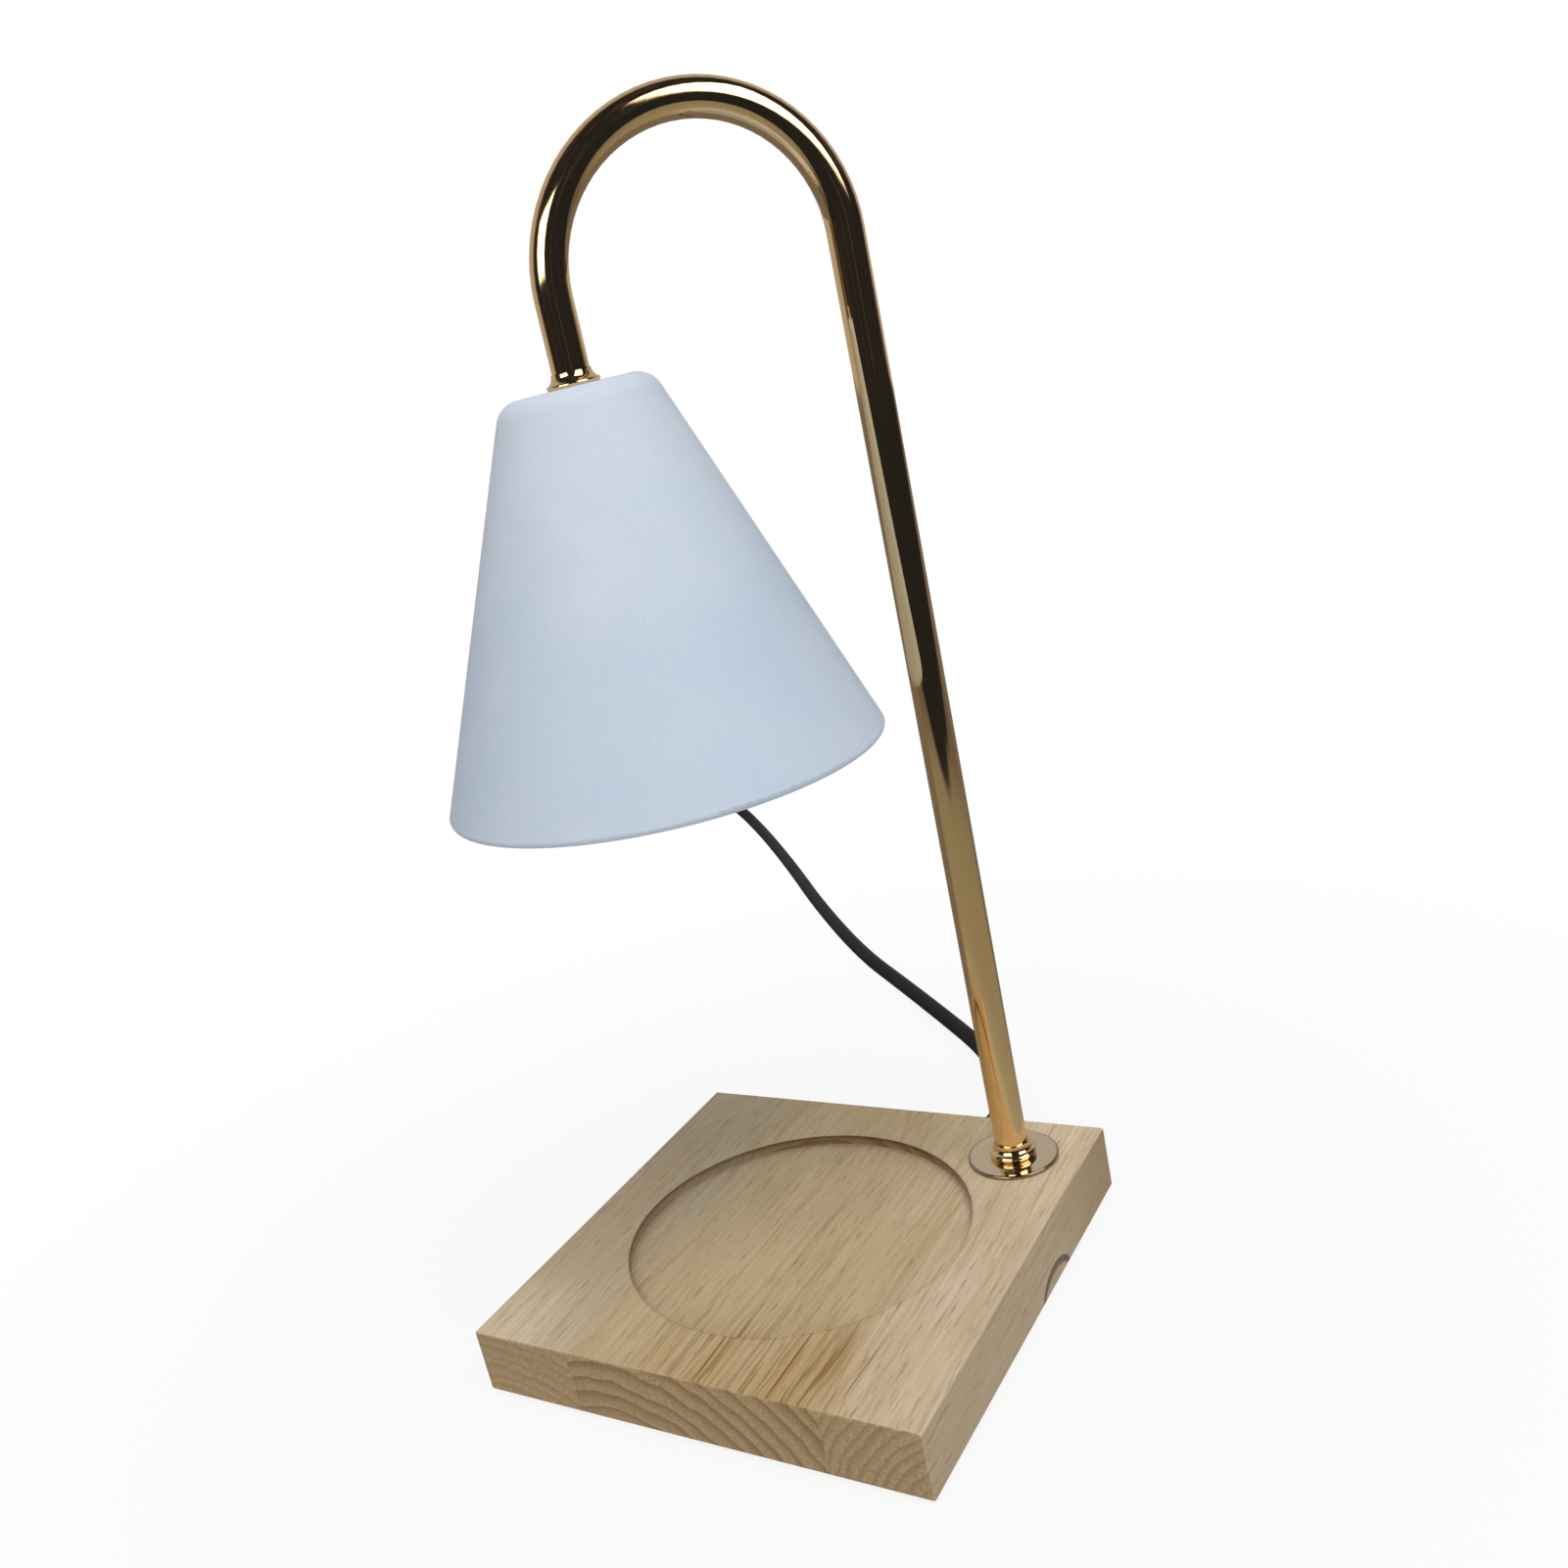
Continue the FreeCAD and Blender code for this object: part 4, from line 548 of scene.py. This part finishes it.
def polished_gold():
    """Thin plating over a drawn tube: faint draw lines and a slightly uneven polish."""
    shader = Shader("polished_gold")
    where = shader.where()
    wear = shader.noise(where, 260.0, 4.0, 0.6)
    drawn = shader.noise(shader.stretch(where, (1800.0, 1800.0, 60.0)), 1.0, 2.0)
    shader.set(Base_Color=shader.mix(shader.rise(wear, 0.35, 0.75, 0.30), GOLD,
                                     shaded(GOLD, 0.92)),
               Metallic=1.0, Roughness=shader.line(wear, 0.042, 0.049))
    shader.bump(drawn, 0.000004, 0.5)
    return shader.material


def disc_gold():
    """Pale mirror plating on the flat disc, with a painted dark shadow line round its rim."""
    shader = Shader("disc_gold")
    where = shader.where()
    corners = [Vector(corner) for corner in frame["nodes"]["stem_disc"].bound_box]
    middle = sum(corners, Vector()) / len(corners)
    radius = max(corner.x for corner in corners) - middle.x
    reach = shader.length(shader.stretch(shader.shift(where, middle), (1.0, 1.0, 0.0)))
    rim = shader.between(reach, *(radius - inset for inset in DISC_RIM))
    wear = shader.noise(where, 260.0, 4.0, 0.6)
    # painted shadow: a dark line round the disc's rim
    shader.set(Base_Color=shader.mix(rim, PALE_GOLD, DISC_RIM_SHADOW),
               Metallic=1.0, Roughness=shader.line(wear, 0.08, 0.05))
    return shader.material


def powder_coat():
    """Matt pale blue-grey paint with the fine sandy grain of a powder coat, with painted light
    making it palest at the top.
    """
    shader = Shader("shade_powder_coat")
    where = shader.where()
    cloud = shader.noise(where, 22.0, 3.0, 0.55)
    sand = shader.noise(where, 2100.0, 2.0, 0.6)
    specks = shader.noise(where, 900.0, 1.0)
    colour = shader.ramp(cloud, [(0.30, PAINT_DARK), (0.70, PAINT_LIGHT)])
    # painted light: the upper part of the shade made paler, as light from above falls on it
    height = shader.between(shader.split(where)[2], 0.20, 0.27)
    colour = shader.mix(shader.times(height, 0.35), colour, PAINT_LIT_TOP)
    colour = shader.mix(shader.rise(sand, 0.30, 0.75, 0.24), colour, PAINT_SAND)
    colour = shader.mix(shader.rise(specks, 0.60, 0.78, 0.14), colour, PAINT_SPECKS)
    shader.set(Base_Color=colour, Roughness=shader.line(sand, 0.2, 0.55), Specular_IOR_Level=0.30)
    shader.bump(sand, 0.00006, 0.6)
    return shader.material


def clear_glass():
    shader = Shader("clear_glass")
    smears = shader.noise(shader.where(), 300.0)
    shader.set(Base_Color=opaque(0.97, 0.98, 0.98), Transmission_Weight=0.92, IOR=1.46,
               Roughness=shader.line(smears, 0.06, 0.02))
    return shader.material


def make_materials():
    """The finish of each material slot in the record."""
    return {
        "wood": wood(),
        "gold_metal": polished_gold(),
        "satin_gold": disc_gold(),
        "shade_paint": powder_coat(),
        "rubber": plain("foot_rubber", grey(0.03), 0.8),
        "black_plate": plain("black_plate", grey(0.03), 0.5),
        "zinc_steel": plain("zinc_steel", opaque(0.60, 0.61, 0.62), 0.30, 1.0),
        "nylon": plain("nylon", opaque(0.75, 0.75, 0.70), 0.45),
        "ceramic": plain("ceramic", opaque(0.80, 0.78, 0.72), 0.55),
        "brass": plain("brass", opaque(0.72, 0.53, 0.24), 0.25, 1.0),
        "reflector": plain("reflector", opaque(0.80, 0.80, 0.82), 0.12, 1.0, grain=260.0),
        "clear_glass": clear_glass(),
        "brown_wire": plain("brown_wire", opaque(0.13, 0.05, 0.02), 0.35),
        "blue_wire": plain("blue_wire", opaque(0.03, 0.10, 0.35), 0.35),
        "black_pvc": plain("black_pvc", BLACK, 0.46, grain=1400.0, Specular_IOR_Level=0.20),
        "tie_nylon": plain("tie_nylon", grey(0.02), 0.75, grain=2400.0, bump=0.0001),
        "black_plastic": plain("black_plastic", BLACK, 0.5, grain=2600.0, bump=0.00004),
        "wheel_plastic": plain("wheel_plastic", grey(0.03), 0.35),
        "circuit_board": plain("circuit_board", opaque(0.02, 0.13, 0.05), 0.35),
    }


def dress_solids(finishes):
    """Give every solid the finish of its slot in the record."""
    for entry in frame["record"]["subparts"]:
        node = frame["nodes"][entry["node"]]
        node.data.materials.clear()
        node.data.materials.append(finishes[entry["material_slot"]])


# ---------------------------------------------------------------- studio

WHITE = grey(1)
FLOOR_HALF = 6.0
FLOOR_GREY = grey(0.74)
FLOOR_WHITE = (0.88, 1.0)               # how much of the seen floor glows: below and past the lamp
FLOOR_FADE = (0.10, 0.40)               # and where it goes from one to the other
EVEN_LIGHT = grey(0.68)                 # what the room gives to matt surfaces
DIM_LIGHT = grey(0.37)                  # and what its two dim sides give them
DIM_SIDE = (-0.90, 0.0, 0.0)            # the left side,
DIM_CORNER = (0.743, 0.669, 0.0)        # and the corner behind the stem
DARK_ROOM = opaque(0.019, 0.021, 0.029)
DIM_WALL = opaque(0.075, 0.059, 0.054)
PALE_BACK = opaque(0.50, 0.46, 0.42)
TABLE = [                               # how the table shows in polished metal: reach and colour
    (0.066, opaque(0.78, 0.80, 0.90)), (0.090, opaque(0.51, 0.51, 0.49)),
    (0.128, opaque(0.37, 0.38, 0.33)), (0.190, opaque(0.325, 0.315, 0.27)),
    (0.340, opaque(0.295, 0.29, 0.24)), (0.440, opaque(0.265, 0.26, 0.215)),
    (0.600, opaque(0.150, 0.137, 0.130)),
]
TABLE_BACK = opaque(0.20, 0.184, 0.170)
FRONT = (0.669, -0.744, 0.0)            # the side of the room that isn't lit
TABLE_EDGES = [                         # which way each edge of the pale table lies, and how far
    ((0.578, -0.816, 0.0), 0.442),
    ((0.965, -0.260, 0.0), 0.575),
]
EDGE_BLUR = 0.03
WINDOWS = [                             # azimuth and height in degrees, half width and height
    (-100.0, 24.0, 0.40, 0.24),
    (-9.0, 33.0, 0.38, 0.42),
]
WINDOW_LIGHT = grey(3.4)
AIM = Vector((0.0, 0.0, 0.15))          # where the softboxes point
SOFTBOXES = [                           # name, place, side and brightness: 1 is white
    ("ceiling_front", (0.45, -0.65, 1.5), 0.6, 6.35),
    ("ceiling_right", (0.8, -0.1, 1.4), 0.5, 5.2),
]


def mirrored_table(shader, where, away):
    """The floor as polished metal shows it: a pale table that fades and ends in a corner."""
    colour = shader.ramp(away, TABLE)
    behind = shader.between(shader.dot(where, FRONT), 0.0, -0.10)
    colour = shader.mix(behind, colour, TABLE_BACK)
    for heading, reach in TABLE_EDGES:
        past = shader.between(shader.dot(where, heading), reach - EDGE_BLUR, reach + EDGE_BLUR)
        colour = shader.mix(past, colour, DARK_ROOM)
    return colour


def floor_paint():
    """White to the camera, with the object's shadow, and a table to polished metal."""
    shader = Shader("floor_paint")
    shader.set(Base_Color=FLOOR_GREY, Roughness=0.9, Specular_IOR_Level=0.1)
    where = shader.where()
    away = shader.length(where)
    path = shader.node("LightPath").outputs
    seen = shader.math("MAXIMUM", path["Is Camera Ray"], path["Is Transmission Ray"])
    near, far = FLOOR_WHITE
    glowing = shader.line(shader.between(away, *FLOOR_FADE), far - near, near)
    share = shader.math("MAXIMUM", shader.times(seen, glowing), path["Is Glossy Ray"])
    glow = shader.node("Emission")
    shader.join(shader.mix(path["Is Glossy Ray"], WHITE, mirrored_table(shader, where, away)),
                glow.inputs[0])
    blend = shader.node("MixShader")
    shader.fed(blend, (share, shader.surface.outputs[0], glow.outputs[0]))
    shader.join(blend.outputs[0], shader.tree.nodes["Material Output"].inputs[0])
    return shader.material


def make_floor():
    """A white floor that keeps the shadow near the object and has no horizon."""
    mesh = bpy.data.meshes.new("floor")
    signs = ((-1, -1), (1, -1), (1, 1), (-1, 1))
    mesh.from_pydata([(x * FLOOR_HALF, y * FLOOR_HALF, 0) for x, y in signs], [], [(0, 1, 2, 3)])
    mesh.materials.append(floor_paint())
    floor = bpy.data.objects.new("floor", mesh)
    bpy.context.scene.collection.objects.link(floor)


def make_light(name, place, side, brightness):
    """A square softbox that polished metal doesn't show."""
    data = bpy.data.lights.new(name, "AREA")
    data.shape = "SQUARE"
    data.size = side
    data.energy = brightness * math.pi * side * side
    light = bpy.data.objects.new(name, data)
    light.location = place
    light.rotation_euler = (AIM - Vector(place)).to_track_quat("-Z", "Y").to_euler()
    light.visible_glossy = False
    bpy.context.scene.collection.objects.link(light)


def window(nodes, way, azimuth, height, half_width, half_height):
    """1 inside a bright rectangle seen in this direction, with soft edges."""
    towards = nodes.dot(way, compass(azimuth, height))
    aside = nodes.math("DIVIDE", nodes.dot(way, compass(azimuth + 90)), towards)
    above = nodes.math("DIVIDE", nodes.dot(way, compass(azimuth, height + 90)), towards)
    share = nodes.math("GREATER_THAN", towards, 0.0)
    for offset, half in ((aside, half_width), (above, half_height)):
        outside = nodes.between(nodes.math("ABSOLUTE", offset), half * 0.75, half * 1.1)
        share = nodes.times(share, nodes.inverse(outside))
    return share


def make_world():
    """Even studio light; polished metal also sees two windows in the unlit front of the room."""
    world = bpy.data.worlds.new("studio")
    world.use_nodes = True
    bpy.context.scene.world = world
    nodes = Nodes(world.node_tree)
    nodes.tree.nodes.clear()
    way = nodes.node("TexCoord").outputs["Generated"]
    clutter = nodes.noise(nodes.stretch(way, (1.0, 1.0, 0.5)), 5.0, 2.0)
    dark = nodes.mix(nodes.between(clutter, 0.50, 0.70), DARK_ROOM, DIM_WALL)
    room = nodes.mix(nodes.between(nodes.dot(way, FRONT), -0.50, -0.15), PALE_BACK, dark)
    for place in WINDOWS:
        room = nodes.mix(window(nodes, way, *place), room, WINDOW_LIGHT)
    even = nodes.mix(nodes.between(nodes.dot(way, DIM_SIDE), 0.0, 0.8), EVEN_LIGHT, DIM_LIGHT)
    even = nodes.mix(nodes.between(nodes.dot(way, DIM_CORNER), 0.1, 0.9), even, DIM_LIGHT)
    path = nodes.node("LightPath").outputs
    colour = nodes.mix(path["Is Glossy Ray"], even, room)
    seen = nodes.math("MAXIMUM", path["Is Camera Ray"], path["Is Transmission Ray"])
    colour = nodes.mix(seen, colour, WHITE)
    background = nodes.node("Background")
    nodes.join(colour, background.inputs[0])
    nodes.join(background.outputs[0], nodes.node("OutputWorld").inputs[0])


# ---------------------------------------------------------------- the whole scene

make_camera()
cord = make_cord()
finishes = make_materials()
cord.data.materials.append(finishes["black_pvc"])
dress_solids(finishes)
make_floor()
make_world()
for softbox in SOFTBOXES:
    make_light(*softbox)
